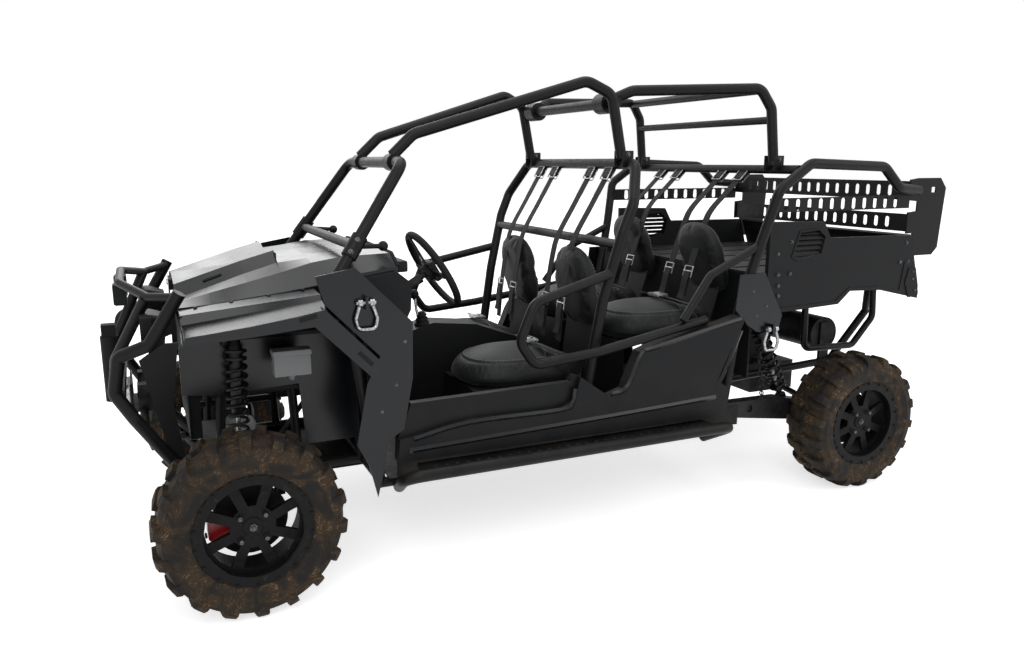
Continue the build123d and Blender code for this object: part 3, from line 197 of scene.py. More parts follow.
def settle_dust(tree, shader, place, colour, dust, amount, patch_mm=90.0):
    """Road dust on faces that look up and near the ground, in soft patches; returns its share."""
    normal = add(tree, "ShaderNodeNewGeometry").outputs["Normal"]
    up = add(tree, "ShaderNodeSeparateXYZ", {"Vector": normal}).outputs["Z"]
    height = add(tree, "ShaderNodeSeparateXYZ", {"Vector": place}).outputs["Z"]
    lying = add(tree, "ShaderNodeMapRange", {"Value": up, "From Min": 0.2, "To Max": amount}).outputs[0]
    low = add(tree, "ShaderNodeMapRange", {"Value": height, "From Min": 0.75, "From Max": 0.25,
                                           "To Max": 0.8 * amount}).outputs[0]
    both = add(tree, "ShaderNodeMath", {0: lying, 1: low}, operation="MAXIMUM").outputs[0]
    cloud = add(tree, "ShaderNodeTexNoise", {"Vector": place, "Scale": per_mm(patch_mm), "Detail": 6.0})
    patches = add(tree, "ShaderNodeMapRange", {"Value": cloud.outputs["Fac"], "From Min": 0.35,
                                               "From Max": 0.75}).outputs[0]
    share = add(tree, "ShaderNodeMath", {0: both, 1: patches}, operation="MULTIPLY").outputs[0]
    return wear(tree, shader, share, 0.0, 1.0, colour, dust)


def raise_grain(tree, shader, place, width_mm, depth_mm, detail=4.0, strength=0.5):
    """Lumps of that width, raised by that depth."""
    lumps = add(tree, "ShaderNodeTexNoise", {"Vector": place, "Scale": per_mm(width_mm), "Detail": detail})
    add(tree, "ShaderNodeBump", {"Strength": strength, "Distance": depth_mm * MM,
                                 "Height": lumps.outputs["Fac"]}, shader.inputs["Normal"])


def powder_coated_steel():
    """Steel tube with a baked black powder coat: satin, faintly pebbled like orange peel, dusty on top."""
    material, tree, shader, place = start_finish("powder_coated_steel", "#0d0d0e", 0.45, shine=0.16)
    settle_dust(tree, shader, place, "#0d0d0e", "#38342f", 0.35)
    handled = add(tree, "ShaderNodeTexNoise", {"Vector": place, "Scale": per_mm(35.0), "Detail": 4.0})
    add(tree, "ShaderNodeMapRange", {"Value": handled.outputs["Fac"], "To Min": 0.36, "To Max": 0.54},
        shader.inputs["Roughness"])
    # pebbles of 3 mm, coarser than the real coat's so that they show
    raise_grain(tree, shader, place, 3.0, 0.15)
    return material


def coated_floor_sheet():
    """Aluminium sheet with a dull dark coat, scuffed by boots and dusty in the corners."""
    material, tree, shader, place = start_finish("coated_aluminium_sheet", "#101112", 0.6, shine=0.16)
    settle_dust(tree, shader, place, "#101112", "#453e34", 0.5)
    scuffs = add(tree, "ShaderNodeTexNoise", {"Vector": place, "Scale": per_mm(14.0), "Detail": 8.0,
                                              "Distortion": 1.5})
    add(tree, "ShaderNodeMapRange", {"Value": scuffs.outputs["Fac"], "From Min": 0.5, "From Max": 0.7,
                                     "To Min": 0.62, "To Max": 0.4}, shader.inputs["Roughness"])
    raise_grain(tree, shader, place, 9.0, 0.2, 6.0)
    return material


def gloss_moulded_plastic():
    """Moulded polypropylene body in gloss near-black with a blue cast: bands of light, thin dust."""
    blue_black = "#0b0d11"
    material, tree, shader, place = start_finish("gloss_polypropylene", blue_black, 0.24, ior=1.49, shine=0.3)
    share = settle_dust(tree, shader, place, blue_black, "#3c3d3e", 0.12, 60.0)
    add(tree, "ShaderNodeMapRange", {"Value": share, "To Min": 0.24, "To Max": 0.7},
        shader.inputs["Roughness"])
    # slow waves of a large moulding
    raise_grain(tree, shader, place, 70.0, 0.15, 2.0, 0.3)
    return material


def grained_moulded_plastic():
    """Dark moulded plastic with a fine leather grain: soft sheen, paler dust in the grain."""
    black = "#0f1012"
    material, tree, shader, place = start_finish("grained_polypropylene", black, 0.52, ior=1.49, shine=0.16)
    settle_dust(tree, shader, place, black, "#3e3932", 0.35)
    # grain cells of about 3 mm, drawn coarse so that they show
    cells = add(tree, "ShaderNodeTexVoronoi", {"Vector": place, "Scale": per_mm(3.2)})
    add(tree, "ShaderNodeBump", {"Strength": 0.5, "Distance": 0.18 * MM, "Height": cells.outputs["Distance"]},
        shader.inputs["Normal"])
    return material


def coated_seat_fabric(name, colour, rubbed):
    """Vinyl-coated polyester: a plain weave under the coat, paler where it is rubbed, with a soft sheen."""
    material, tree, shader, place = start_finish(name, colour, 0.55, ior=1.52, shine=0.2)
    rubs = add(tree, "ShaderNodeTexNoise", {"Vector": place, "Scale": per_mm(80.0), "Detail": 4.0})
    wear(tree, shader, rubs.outputs["Fac"], 0.4, 0.7, colour, rubbed)
    shader.inputs["Sheen Weight"].default_value = 0.08
    shader.inputs["Sheen Roughness"].default_value = 0.4
    threads = [add(tree, "ShaderNodeTexWave", {"Vector": place, "Scale": per_wave_mm(3.0), "Distortion": 0.4},
                   bands_direction=way).outputs["Fac"] for way in "YZ"]
    weave = add(tree, "ShaderNodeMath", {0: threads[0], 1: threads[1]}, operation="MULTIPLY").outputs[0]
    folds = add(tree, "ShaderNodeTexNoise", {"Vector": place, "Scale": per_mm(26.0), "Detail": 5.0,
                                             "Distortion": 0.6})
    creases = add(tree, "ShaderNodeMath", {0: weave, 1: folds.outputs["Fac"]}, operation="ADD")
    # threads of 3 mm, drawn coarse so that they show
    add(tree, "ShaderNodeBump", {"Strength": 0.5, "Distance": 0.5 * MM, "Height": creases.outputs[0]},
        shader.inputs["Normal"])
    return material


def nylon_webbing():
    """Woven nylon seat-belt webbing: black, ribbed along its length, with a dry sheen."""
    material, tree, shader, place = start_finish("nylon_webbing", "#131415", 0.7, ior=1.53, shine=0.16)
    shader.inputs["Sheen Weight"].default_value = 0.15
    shader.inputs["Sheen Roughness"].default_value = 0.3
    ribs = [add(tree, "ShaderNodeTexWave", {"Vector": place, "Scale": per_wave_mm(rib)},
                bands_direction=way).outputs["Fac"] for way, rib in (("Y", 4.5), ("Z", 3.0))]
    weave = add(tree, "ShaderNodeMath", {0: ribs[0], 1: ribs[1]}, operation="MULTIPLY").outputs[0]
    wear(tree, shader, weave, 0.0, 1.0, "#0f1010", "#232425")
    # ribs of 4.5 mm across the 44 mm strap
    add(tree, "ShaderNodeBump", {"Strength": 0.6, "Distance": 0.5 * MM, "Height": weave},
        shader.inputs["Normal"])
    return material


def cast_aluminium():
    """Sand-cast aluminium housings under grime: dull, gritty, with darker oily patches."""
    material, tree, shader, place = start_finish("cast_aluminium", "#2b2c2e", 0.58, metallic=0.8)
    oil = add(tree, "ShaderNodeTexNoise", {"Vector": place, "Scale": per_mm(45.0), "Detail": 6.0})
    wear(tree, shader, oil.outputs["Fac"], 0.35, 0.65, "#2b2c2e", "#171513")
    raise_grain(tree, shader, place, 2.5, 0.2, 4.0, 0.6)
    return material


def enamelled_arms():
    """Welded steel arms in dark blue-grey enamel, splashed with mud towards the wheel."""
    material, tree, shader, place = start_finish("blue_grey_enamel", "#14171c", 0.4, shine=0.22)
    settle_dust(tree, shader, place, "#14171c", "#43382a", 0.6, 40.0)
    raise_grain(tree, shader, place, 6.0, 0.3, 5.0, 0.4)
    return material


def spring_steel():
    """Coil spring wire in a smooth black coat, dusty on the upper side of each turn."""
    material, tree, shader, place = start_finish("coated_spring_steel", "#0c0c0d", 0.36, shine=0.2)
    settle_dust(tree, shader, place, "#0c0c0d", "#37312a", 0.45, 30.0)
    return material


def red_enamel():
    """Brake caliper in red enamel: bright, slightly glossy, dulled by brake dust."""
    material, tree, shader, place = start_finish("red_enamel", "#a8161c", 0.34)
    dust = add(tree, "ShaderNodeTexNoise", {"Vector": place, "Scale": per_mm(20.0), "Detail": 5.0})
    wear(tree, shader, dust.outputs["Fac"], 0.45, 0.75, "#a8161c", "#4c1a18")
    return material


def cast_wheel_coat():
    """Cast aluminium wheel in a matt black coat, with a little dried mud thrown onto it."""
    material, tree, shader, place = start_finish("black_cast_wheel", "#0b0b0c", 0.55, shine=0.14)
    thrown = add(tree, "ShaderNodeTexNoise", {"Vector": place, "Scale": per_mm(24.0), "Detail": 8.0,
                                              "Distortion": 0.8})
    wear(tree, shader, thrown.outputs["Fac"], 0.58, 0.74, "#0b0b0c", "#241f19")
    raise_grain(tree, shader, place, 4.0, 0.25)
    return material


def muddy_rubber():
    """Black tyre rubber smeared with brown mud, in broad films crossed by thin paler ridges."""
    material, tree, shader, place = start_finish("muddy_rubber", "#12110f", 0.8, ior=1.52, shine=0.25)
    film = add(tree, "ShaderNodeTexNoise", {"Vector": place, "Scale": per_mm(85.0), "Detail": 6.0,
                                            "Distortion": 1.2}).outputs["Fac"]
    swirl = add(tree, "ShaderNodeTexNoise", {"Vector": place, "Scale": per_mm(60.0), "Detail": 2.5,
                                             "Distortion": 3.0}).outputs["Fac"]
    off_line = add(tree, "ShaderNodeMath", {0: swirl, 1: 0.5}, operation="SUBTRACT").outputs[0]
    off_line = add(tree, "ShaderNodeMath", {0: off_line}, operation="ABSOLUTE").outputs[0]
    ridge = add(tree, "ShaderNodeMapRange", {"Value": off_line, "From Min": 0.028,
                                             "From Max": 0.0}).outputs[0]
    wet = add(tree, "ShaderNodeMapRange", {"Value": film, "From Min": 0.40, "From Max": 0.62}).outputs[0]
    dry = add(tree, "ShaderNodeMath", {0: ridge, 1: wet}, operation="MULTIPLY").outputs[0]
    mud = add(tree, "ShaderNodeMix", {0: dry, 6: "#33271a", 7: "#80674a"}, data_type="RGBA").outputs[2]
    wear(tree, shader, wet, 0.0, 1.0, "#141210", mud)
    lumps = add(tree, "ShaderNodeTexNoise", {"Vector": place, "Scale": per_mm(12.0), "Detail": 6.0,
                                             "Distortion": 1.0}).outputs["Fac"]
    raised = add(tree, "ShaderNodeMath", {0: dry, 1: lumps}, operation="ADD").outputs[0]
    add(tree, "ShaderNodeBump", {"Strength": 0.8, "Distance": 2.0 * MM, "Height": raised},
        shader.inputs["Normal"])
    return material


def clear_polycarbonate():
    """Clear polycarbonate lens: glossy, colourless, see-through, with a faint moulded ripple."""
    material, tree, shader, place = start_finish("clear_polycarbonate", "#f4f7fa", 0.05, ior=1.58)
    shader.inputs["Transmission Weight"].default_value = 0.9
    raise_grain(tree, shader, place, 10.0, 0.1, 1.0, 0.2)
    return material


def smoked_lens():
    """Smoked lamp lens in amber-brown plastic, nearly black when unlit, with fine flutes."""
    material, tree, shader, place = start_finish("smoked_lens", "#140e0b", 0.14, ior=1.58, shine=0.4)
    # flutes of 6 mm
    flutes = add(tree, "ShaderNodeTexWave", {"Vector": place, "Scale": per_wave_mm(6.0)},
                 bands_direction="Y")
    add(tree, "ShaderNodeBump", {"Strength": 0.5, "Distance": 0.4 * MM, "Height": flutes.outputs["Fac"]},
        shader.inputs["Normal"])
    return material


def soft_grip_rubber():
    """Moulded soft rubber of the steering wheel and of the guide roller's sleeve: matt, finely stippled."""
    material, tree, shader, place = start_finish("soft_grip_rubber", "#101011", 0.68, ior=1.52, shine=0.16)
    cells = add(tree, "ShaderNodeTexVoronoi", {"Vector": place, "Scale": per_mm(3.0)})
    add(tree, "ShaderNodeBump", {"Strength": 0.6, "Distance": 0.25 * MM, "Height": cells.outputs["Distance"]},
        shader.inputs["Normal"])
    return material


def zinc_plated_steel():
    """Zinc-plated shackles, buckles and pins: pale grey metal with a slightly cloudy shine."""
    material, tree, shader, place = start_finish("zinc_plated_steel", "#9fa1a3", 0.34, metallic=1.0)
    cloud = add(tree, "ShaderNodeTexNoise", {"Vector": place, "Scale": per_mm(7.0), "Detail": 5.0})
    share = wear(tree, shader, cloud.outputs["Fac"], 0.4, 0.7, "#a5a7a9", "#6f6e6c")
    add(tree, "ShaderNodeMapRange", {"Value": share, "To Min": 0.25, "To Max": 0.5},
        shader.inputs["Roughness"])
    return material


def blackened_steel():
    """Bolts blackened in hot oil: dark grey, dull, only a little paler on the worn edges."""
    material, tree, shader, place = start_finish("blackened_steel", "#4c4d4e", 0.5, metallic=1.0)
    rubbed = add(tree, "ShaderNodeTexNoise", {"Vector": place, "Scale": per_mm(6.0), "Detail": 5.0})
    wear(tree, shader, rubbed.outputs["Fac"], 0.4, 0.7, "#3c3d3e", "#68696a")
    return material


def polyester_thread():
    """Pale grey polyester seam thread, dull and slightly fuzzy."""
    material, tree, shader, place = start_finish("polyester_thread", "#6b6d6e", 0.8, ior=1.53)
    shader.inputs["Sheen Weight"].default_value = 0.3
    raise_grain(tree, shader, place, 1.5, 0.1)
    return material


def mirror_bowl():
    """Vacuum-metallised reflector behind a lens: bright, smooth, slightly facetted by its ripple."""
    material, tree, shader, place = start_finish("metallised_reflector", "#a9abad", 0.16, metallic=1.0)
    raise_grain(tree, shader, place, 12.0, 0.2, 2.0, 0.3)
    return material


FINISHES = {                # the record's material slots
    "black_tube": powder_coated_steel(), "floor_metal": coated_floor_sheet(),
    "body_plastic": gloss_moulded_plastic(), "dark_plastic": grained_moulded_plastic(),
    "webbing": nylon_webbing(), "cast_metal": cast_aluminium(),
    "seat_fabric": coated_seat_fabric("coated_seat_fabric", "#1d1e1f", "#282a2b"),
    "suspension_paint": enamelled_arms(), "spring_black": spring_steel(), "caliper_red": red_enamel(),
    "rim_black": cast_wheel_coat(), "tyre_rubber": muddy_rubber(), "lamp_lens": clear_polycarbonate(),
    "grip": soft_grip_rubber(), "steel": zinc_plated_steel(),
}
SIDE_FABRIC = coated_seat_fabric("coated_side_fabric", "#101112", "#17181a")
SMOKED = smoked_lens()
THREAD = polyester_thread()
REFLECTOR = mirror_bowl()
BOLT_STEEL = blackened_steel()
OWN_FINISH = {"headlamps": FINISHES["dark_plastic"]}       # nodes whose housing differs from their slot

for part in frame["record"]["subparts"]:
    node = frame["nodes"][part["node"]]
    node.data.materials.clear()
    node.data.materials.append(OWN_FINISH.get(part["node"]) or FINISHES[part["material_slot"]])


# ---- workshop: how pieces are made -------------------------------------------------------------------
def finish_piece(name, body, slot, work, material=None, sharp=35):
    """Turns finished mesh work into a named piece on its body, smooth up to an edge angle in degrees."""
    bmesh.ops.recalc_face_normals(work, faces=work.faces)
    mesh = bpy.data.meshes.new(name)
    work.to_mesh(mesh)
    work.free()
    mesh.shade_smooth()
    mesh.set_sharp_from_angle(angle=math.radians(sharp))
    mesh.materials.append(material or FINISHES[slot])
    piece = bpy.data.objects.new(name, mesh)
    bpy.context.scene.collection.objects.link(piece)
    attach(piece, body)
    return piece


def square_to(axis):
    """Two directions square to an axis and to each other."""
    first = axis.orthogonal().normalized()
    return first, axis.cross(first)


def skin(work, rings, ends=True):
    """Joins rings of points into a surface, closed at its ends."""
    made = [[work.verts.new(point) for point in ring] for ring in rings]
    for low, high in zip(made, made[1:]):
        for index in range(len(low)):
            after = (index + 1) % len(low)
            work.faces.new((low[index], low[after], high[after], high[index]))
    if ends:
        work.faces.new(made[0][::-1])
        work.faces.new(made[-1])
    return made


def turn(work, start, axis, profile, sides=20):
    """Adds a turned form along an axis; the profile is distance and radius in millimetres."""
    axis = Vector(axis).normalized()
    first, second = square_to(axis)
    angles = [2 * math.pi * index / sides for index in range(sides)]
    skin(work, [[Vector(start) + (axis * along + (first * math.cos(a) + second * math.sin(a)) * radius) * MM
                 for a in angles] for along, radius in profile])


def draw_along(work, route, section, across=None, closed=False):
    """Sweeps a section, in millimetres across and up, along a route; across keeps a strap flat."""
    rings, side = [], None
    last = len(route) - 1
    for index, point in enumerate(route):
        ahead = route[(index + 1) % len(route)] if closed else route[min(index + 1, last)]
        behind = route[index - 1] if closed else route[max(index - 1, 0)]
        run = (ahead - behind).normalized()
        start = across or side or square_to(run)[0]
        side = (start - run * start.dot(run)).normalized()
        up = run.cross(side)
        rings.append([point + side * u * MM + up * v * MM for u, v in section])
    if closed:
        made = skin(work, rings, False)
        for index in range(len(section)):
            after = (index + 1) % len(section)
            work.faces.new((made[-1][index], made[-1][after], made[0][after], made[0][index]))
    else:
        skin(work, rings)


def bend_ring(work, corners, radius, sides=8, stops=(0, 0.08, 0.92)):
    """Closed ring of round bar through the corners, which stops on each side keep tight."""
    route = [a.lerp(b, stop) for a, b in zip(corners, corners[1:] + corners[:1]) for stop in stops]
    draw_along(work, route, round_section(radius, sides), closed=True)


def round_section(radius, sides=12):
    """Circle in millimetres."""
    return [(radius * math.cos(2 * math.pi * i / sides), radius * math.sin(2 * math.pi * i / sides))
            for i in range(sides)]


def flat_section(width, thickness, corner=0.8):
    """Flat bar with broken corners, in millimetres."""
    w, t = width / 2, thickness / 2
    half = [(w - corner, -t), (w, corner - t), (w, t - corner), (w - corner, t)]
    return half + [(-u, -v) for u, v in half]


def smooth_route(points, steps=8):
    """Points along a smooth curve through the given ones."""
    padded = [points[0] * 2 - points[1], *points, points[-1] * 2 - points[-2]]
    route = []
    for a, b, c, d in zip(padded, padded[1:], padded[2:], padded[3:]):
        for step in range(steps):
            t = step / steps
            route.append(0.5 * (2 * b + (c - a) * t + (2 * a - 5 * b + 4 * c - d) * t * t
                                + (3 * b - a - 3 * c + d) * t ** 3))
    return route + [points[-1]]


def block(work, middle, size, corner=3.0, lean=None):
    """Block with broken edges; size in millimetres, lean a turn about its middle."""
    made = bmesh.ops.create_cube(work, size=1.0)["verts"]
    edges = list({edge for vert in made for edge in vert.link_edges})
    bmesh.ops.scale(work, verts=made, vec=[side * MM for side in size])
    shaped = bmesh.ops.bevel(work, geom=made + edges, offset=corner * MM, segments=2, affect="EDGES",
                             profile=0.7)
    island = grow_island({vert for face in shaped["faces"] for vert in face.verts})
    bmesh.ops.transform(work, matrix=Matrix.Translation(middle) @ (lean or Matrix()), verts=island)


def grow_island(verts):
    """All points joined to the given ones."""
    seen, queue = set(verts), list(verts)
    while queue:
        for edge in queue.pop().link_edges:
            for vert in edge.verts:
                if vert not in seen:
                    seen.add(vert)
                    queue.append(vert)
    return list(seen)


def cap_bolt(work, place, axis, head=7.0):
    """Flanged hex bolt head with its washer, standing on a face."""
    turn(work, place, axis, [(-1, head * 1.3), (1.5, head * 1.3), (2, head * 1.15), (2, head)], 20)
    turn(work, place, axis, [(1, head), (head * 0.75, head), (head, head * 0.86), (head, head * 0.3)], 6)


def both_sides(points):
    """The points and their mirror images on the right of the vehicle."""
    return points + [(x, -y, z) for x, y, z in points]


# ---- bolts, pins and latches -------------------------------------------------------------------------
LEFT = Vector((0, 1, 0))
BED_BOLTS = [               # x, z on the outer face of the bed's side and corner plates
    (-2248, 1111), (-2256, 1019), (-2260, 970), (-2264, 926), (-2323, 1020), (-2320, 1160), (-3020, 1128),
    (-3040, 1040), (-2988, 1040), (-3076, 990), (-3080, 955), (-3100, 900),
]
PLATE_BOLTS = [(-523, 725), (-560, 880), (-470, 633)]       # x, z on the front side plate
QUARTER_BOLTS = [(-2105, 960), (-2130, 850), (-2180, 890)]


def fit_bolts():
    """Blackened bolts of the bed, the side plates and the quarter plates."""
    work = bmesh.new()
    for spots, face, head in ((BED_BOLTS, 620.0, 6.5), (PLATE_BOLTS, 645.0, 5), (QUARTER_BOLTS, 644.0, 5)):
        for x, z in spots:
            for side in (1, -1):
                cap_bolt(work, at(x, side * face, z), LEFT * side, head)
    finish_piece("body_bolts", "vehicle", "steel", work, BOLT_STEEL)


def fit_cage_hardware():
    """Two bolts in each sleeve of the windshield hoop's legs."""
    work = bmesh.new()
    low, high = Vector((-406, 495.3, 1170)), Vector((-456, 476.6, 1240))
    for side in (1, -1):
        for share in (0.22, 0.78):
            mirror = Matrix.Diagonal((1, side, 1))
            out = Vector((0.25, 1, 0.2)).normalized()
            place = at(*low.lerp(high, share)) + out * 27.5 * MM
            cap_bolt(work, mirror @ place, mirror @ out, 8)
    finish_piece("sleeve_bolts", "vehicle", "steel", work, BOLT_STEEL)


fit_bolts()
fit_cage_hardware()


# ---- wheels ------------------------------------------------------------------------------------------
WHEELS = [                  # body, x of the axle, side, half track, offset of the beadlock ring's outer face
    ("front_left_wheel", 0, 1, 659, 97.5), ("front_right_wheel", 0, -1, 659, 97.5),
    ("rear_left_wheel", -2730, 1, 644, 92.25), ("rear_right_wheel", -2730, -1, 644, 92.25),
]
RING_BOLTS, LUG_NUTS = 18, 4
RING_BOLT_R, LUG_NUT_R = 190.0, 58.0


def round_wheel(x, side, offset, radius, count):
    """Places spaced evenly round an axle, half a step from its front."""
    for index in range(count):
        angle = 2 * math.pi * (index + 0.5) / count
        yield at(x + radius * math.cos(angle), side * offset, AXLE_Z + radius * math.sin(angle))


def fit_wheel_hardware():
    """Beadlock bolts, lug nuts, hub cap and valve of each wheel."""
    for body, x, side, track, ring in WHEELS:
        out = LEFT * side
        work = bmesh.new()
        for place in round_wheel(x, side, track + ring, RING_BOLT_R, RING_BOLTS):
            cap_bolt(work, place, out, 5.5)
        finish_piece(body + "_ring_bolts", body, "rim_black", work)
        work = bmesh.new()
        for place in round_wheel(x, side, track + 58, LUG_NUT_R, LUG_NUTS):
            turn(work, place, out, [(-2, 11), (14, 10.5), (20, 8), (21, 4)], 6)
        hub = at(x, side * (track + 62), AXLE_Z)
        turn(work, hub, out, [(-4, 15), (5, 15), (7, 13), (7, 8), (12, 8), (13, 5)], 6)
        finish_piece(body + "_nuts", body, "steel", work, BOLT_STEEL)
        work = bmesh.new()
        turn(work, at(x, side * (track + 58), AXLE_Z), out, [(-2, 33), (3, 33), (5, 30), (5, 19)], 32)
        turn(work, at(x + 148, side * (track + 62), AXLE_Z), out, [(-14, 4), (16, 4), (18, 3)], 12)
        finish_piece(body + "_hub_cap", body, "rim_black", work)


fit_wheel_hardware()


# ---- coil-over shocks --------------------------------------------------------------------------------
SHOCKS = [                  # row, lower eye, upper eye, turns of the spring
    ("front", (0, 425, 462), (-15, 392, 902), 9), ("rear", (-2446, 480, 418), (-2286, 455, 805), 8),
]
COIL_R, WIRE_R = 34.0, 6.0


def fit_shocks():
    """Damper, bright rod, spring perches and a wound spring; the eyes keep their pins along the vehicle."""
    for row, low, high, turns in SHOCKS:
        steel, coil, rods = bmesh.new(), bmesh.new(), bmesh.new()
        for side in (1, -1):
            start, end = at(low[0], side * low[1], low[2]), at(high[0], side * high[1], high[2])
            axis = (end - start).normalized()
            length = (end - start).length / MM
            turn(rods, start, axis, [(18, 8), (0.45 * length, 8)], 20)
            turn(steel, start, axis, [(0, 13), (24, 13), (30, 20), (34, 20)], 20)
            turn(steel, start, axis, [(0.10 * length, 12), (0.10 * length + 4, COIL_R + 4),
                                      (0.10 * length + 9, COIL_R + 4), (0.10 * length + 16, 22)], 32)
            turn(steel, start, axis, [(0.36 * length, 20), (0.38 * length, 23), (0.90 * length, 23),
                                      (0.93 * length, 18), (length, 14)], 28)
            for share in (0.80, 0.86):
                turn(steel, start, axis, [(share * length, 24), (share * length + 1, COIL_R + 4),
                                          (share * length + 10, COIL_R + 4), (share * length + 11, 24)], 32)
            first, second = square_to(axis)
            route = []
            for step in range(turns * 20 + 1):
                share = step / (turns * 20)
                angle = 2 * math.pi * turns * share
                along = (0.13 + 0.66 * share) * length
                route.append(start + axis * along * MM
                             + (first * math.cos(angle) + second * math.sin(angle)) * COIL_R * MM)
            draw_along(coil, route, round_section(WIRE_R, 10))
            for spot in (start, end):
                turn(steel, spot - Vector((17 * MM, 0, 0)), (1, 0, 0), [(0, 18), (34, 18)], 24)
                turn(rods, spot - Vector((20 * MM, 0, 0)), (1, 0, 0), [(0, 7), (40, 7)], 12)
        springs = finish_piece(row + "_springs", "vehicle", "spring_black", coil)
        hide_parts(row + "_shocks")
        finish_piece(row + "_dampers", "vehicle", "spring_black", steel)
        finish_piece(row + "_damper_rods", "vehicle", "steel", rods)


fit_shocks()


# ---- seats -------------------------------------------------------------------------------------------
SEAT_Y = 292.0
# piece, CAD node, middle, turn back about y, half width, half length to front and back, height of the crown,
# depth below the rim, power of the front and back edge, power of the crown's profile
SEAT_PADS = [
    ("front_cushion", "front_seat_cushions", (-1120, 642), 0, 208, 254, 244, 100, 30, 2.3, 4.0, 2.05),
    ("rear_cushion", "rear_seat_cushions", (-1783, 792), 0, 208, 242, 232, 96, 45, 2.3, 4.0, 2.05),
    ("front_back", "front_seat_backs", (-1441, 985), 80.0, 150, 172, 178, 34, 38, 2.6, 3.2, 3.2),
    ("rear_back", "rear_seat_backs", (-2102, 1070), 72.0, 150, 175, 175, 34, 38, 2.6, 3.2, 3.2),
]
SEAM_SHARE = 0.80           # of the way from a pad's middle to its rim
VOXEL = 7 * MM
CAP = 9 * MM                # how far the filling may push the cover
CLOTH_STEPS = 20
CHANNEL_BACK, CHANNEL_CUSHION = -90, -130   # sewn channel's place behind the middle, in millimetres
CHANNEL_BOW = 0.0011        # how fast the cushion's channel curves forward at its ends, per millimetre
STITCH_PITCH, STITCH_R = 13.0, 1.2


class Pad:
    """Sizes of one padded form and the way from its own flat plan to the vehicle."""

    def __init__(self, middle, back_turn, half, ahead, behind, crown, depth, front_power, back_power, dome):
        self.half, self.ahead, self.behind = half, ahead, behind
        self.crown, self.depth, self.dome = crown, depth, dome
        self.powers = (front_power, back_power)
        self.place = (Matrix.Translation(at(middle[0], SEAT_Y, middle[1]))
                      @ Matrix.Rotation(math.radians(-back_turn), 4, "Y"))

    def reach(self, angle):
        """Distance from the middle to the rim in that direction, in millimetres."""
        along, across = math.cos(angle), math.sin(angle)
        length, power = (self.ahead, self.powers[0]) if along > 0 else (self.behind, self.powers[1])
        return ((abs(along) / length) ** power + (abs(across) / self.half) ** power) ** (-1 / power)

    def share(self, point):
        """How far out a point of the plan lies: nought in the middle, one on the rim."""
        return math.hypot(point.x, point.y) / MM / self.reach(math.atan2(point.y, point.x))


def raw_pad(pad, rings=18, around=72):
    """Closed pillow: a dome over the rim and a shallow dish under it."""
    work = bmesh.new()
    shapes = []
    for step in range(1, 2 * rings):
        angle = math.pi * step / (2 * rings)
        height, power = (pad.crown, pad.dome) if angle <= math.pi / 2 else (pad.depth, 4.0)
        out = abs(math.sin(angle)) ** (2 / power)
        level = height * abs(math.cos(angle)) ** (2 / power) * (1 if angle <= math.pi / 2 else -1)
        shapes.append([Vector((out * pad.reach(a) * math.cos(a) * MM, out * pad.reach(a) * math.sin(a) * MM,
                               level * MM)) for a in (2 * math.pi * i / around for i in range(around))])
    skin(work, shapes)
    bmesh.ops.recalc_face_normals(work, faces=work.faces)
    return work


def evaluated_mesh(piece, bench):
    """The mesh that a piece's modifiers give now, in the scene that it is made in."""
    bench.view_layers[0].update()
    return bpy.data.meshes.new_from_object(piece.evaluated_get(bench.view_layers[0].depsgraph))


def fill_cover(piece, bench):
    """Foam pressing its cover out: cloth under pressure, each point held within the cap."""
    remesh = piece.modifiers.new("even", "REMESH")
    remesh.mode = "VOXEL"
    remesh.voxel_size = VOXEL
    piece.data = evaluated_mesh(piece, bench)
    piece.modifiers.clear()
    rest = [vert.co.copy() for vert in piece.data.vertices]
    cloth = piece.modifiers.new("cover", "CLOTH")
    cloth.settings.use_pressure = True
    cloth.settings.uniform_pressure_force = 4.0
    cloth.settings.effector_weights.gravity = 0.0
    for step in range(1, CLOTH_STEPS + 1):
        bench.frame_set(step)
    filled = evaluated_mesh(piece, bench)
    piece.modifiers.clear()
    for vert, start, moved in zip(piece.data.vertices, rest, filled.vertices):
        push = moved.co - start
        vert.co = start + (push if push.length < CAP else push.normalized() * CAP)
    bpy.data.meshes.remove(filled)


def channel_line(is_back, across):
    """Distance ahead of a pad's middle at which its channel runs, at that distance to the side."""
    return CHANNEL_BACK if is_back else CHANNEL_CUSHION + CHANNEL_BOW * across ** 2


def sew(mesh, pad, is_back):
    """Draws the seams in: a groove round the top panel, a channel across, soft puckers beside them."""
    normals = [vert.normal.copy() for vert in mesh.vertices]
    for vert, normal in zip(mesh.vertices, normals):
        point = vert.co
        if point.z <= 0:
            continue
        share = pad.share(point)
        groove = 6.0 * math.exp(-((share - SEAM_SHARE) / 0.022) ** 2)
        angle = math.atan2(point.y, point.x)
        pucker = 0.9 * math.sin(angle * 58) * math.exp(-((share - SEAM_SHARE) / 0.07) ** 2)
        channel = 0.0
        if share < SEAM_SHARE:
            beside = point.x / MM - channel_line(is_back, point.y / MM)
            channel = 5.0 * math.exp(-(beside / 6.0) ** 2)
        vert.co -= normal * (groove + pucker + channel) * MM


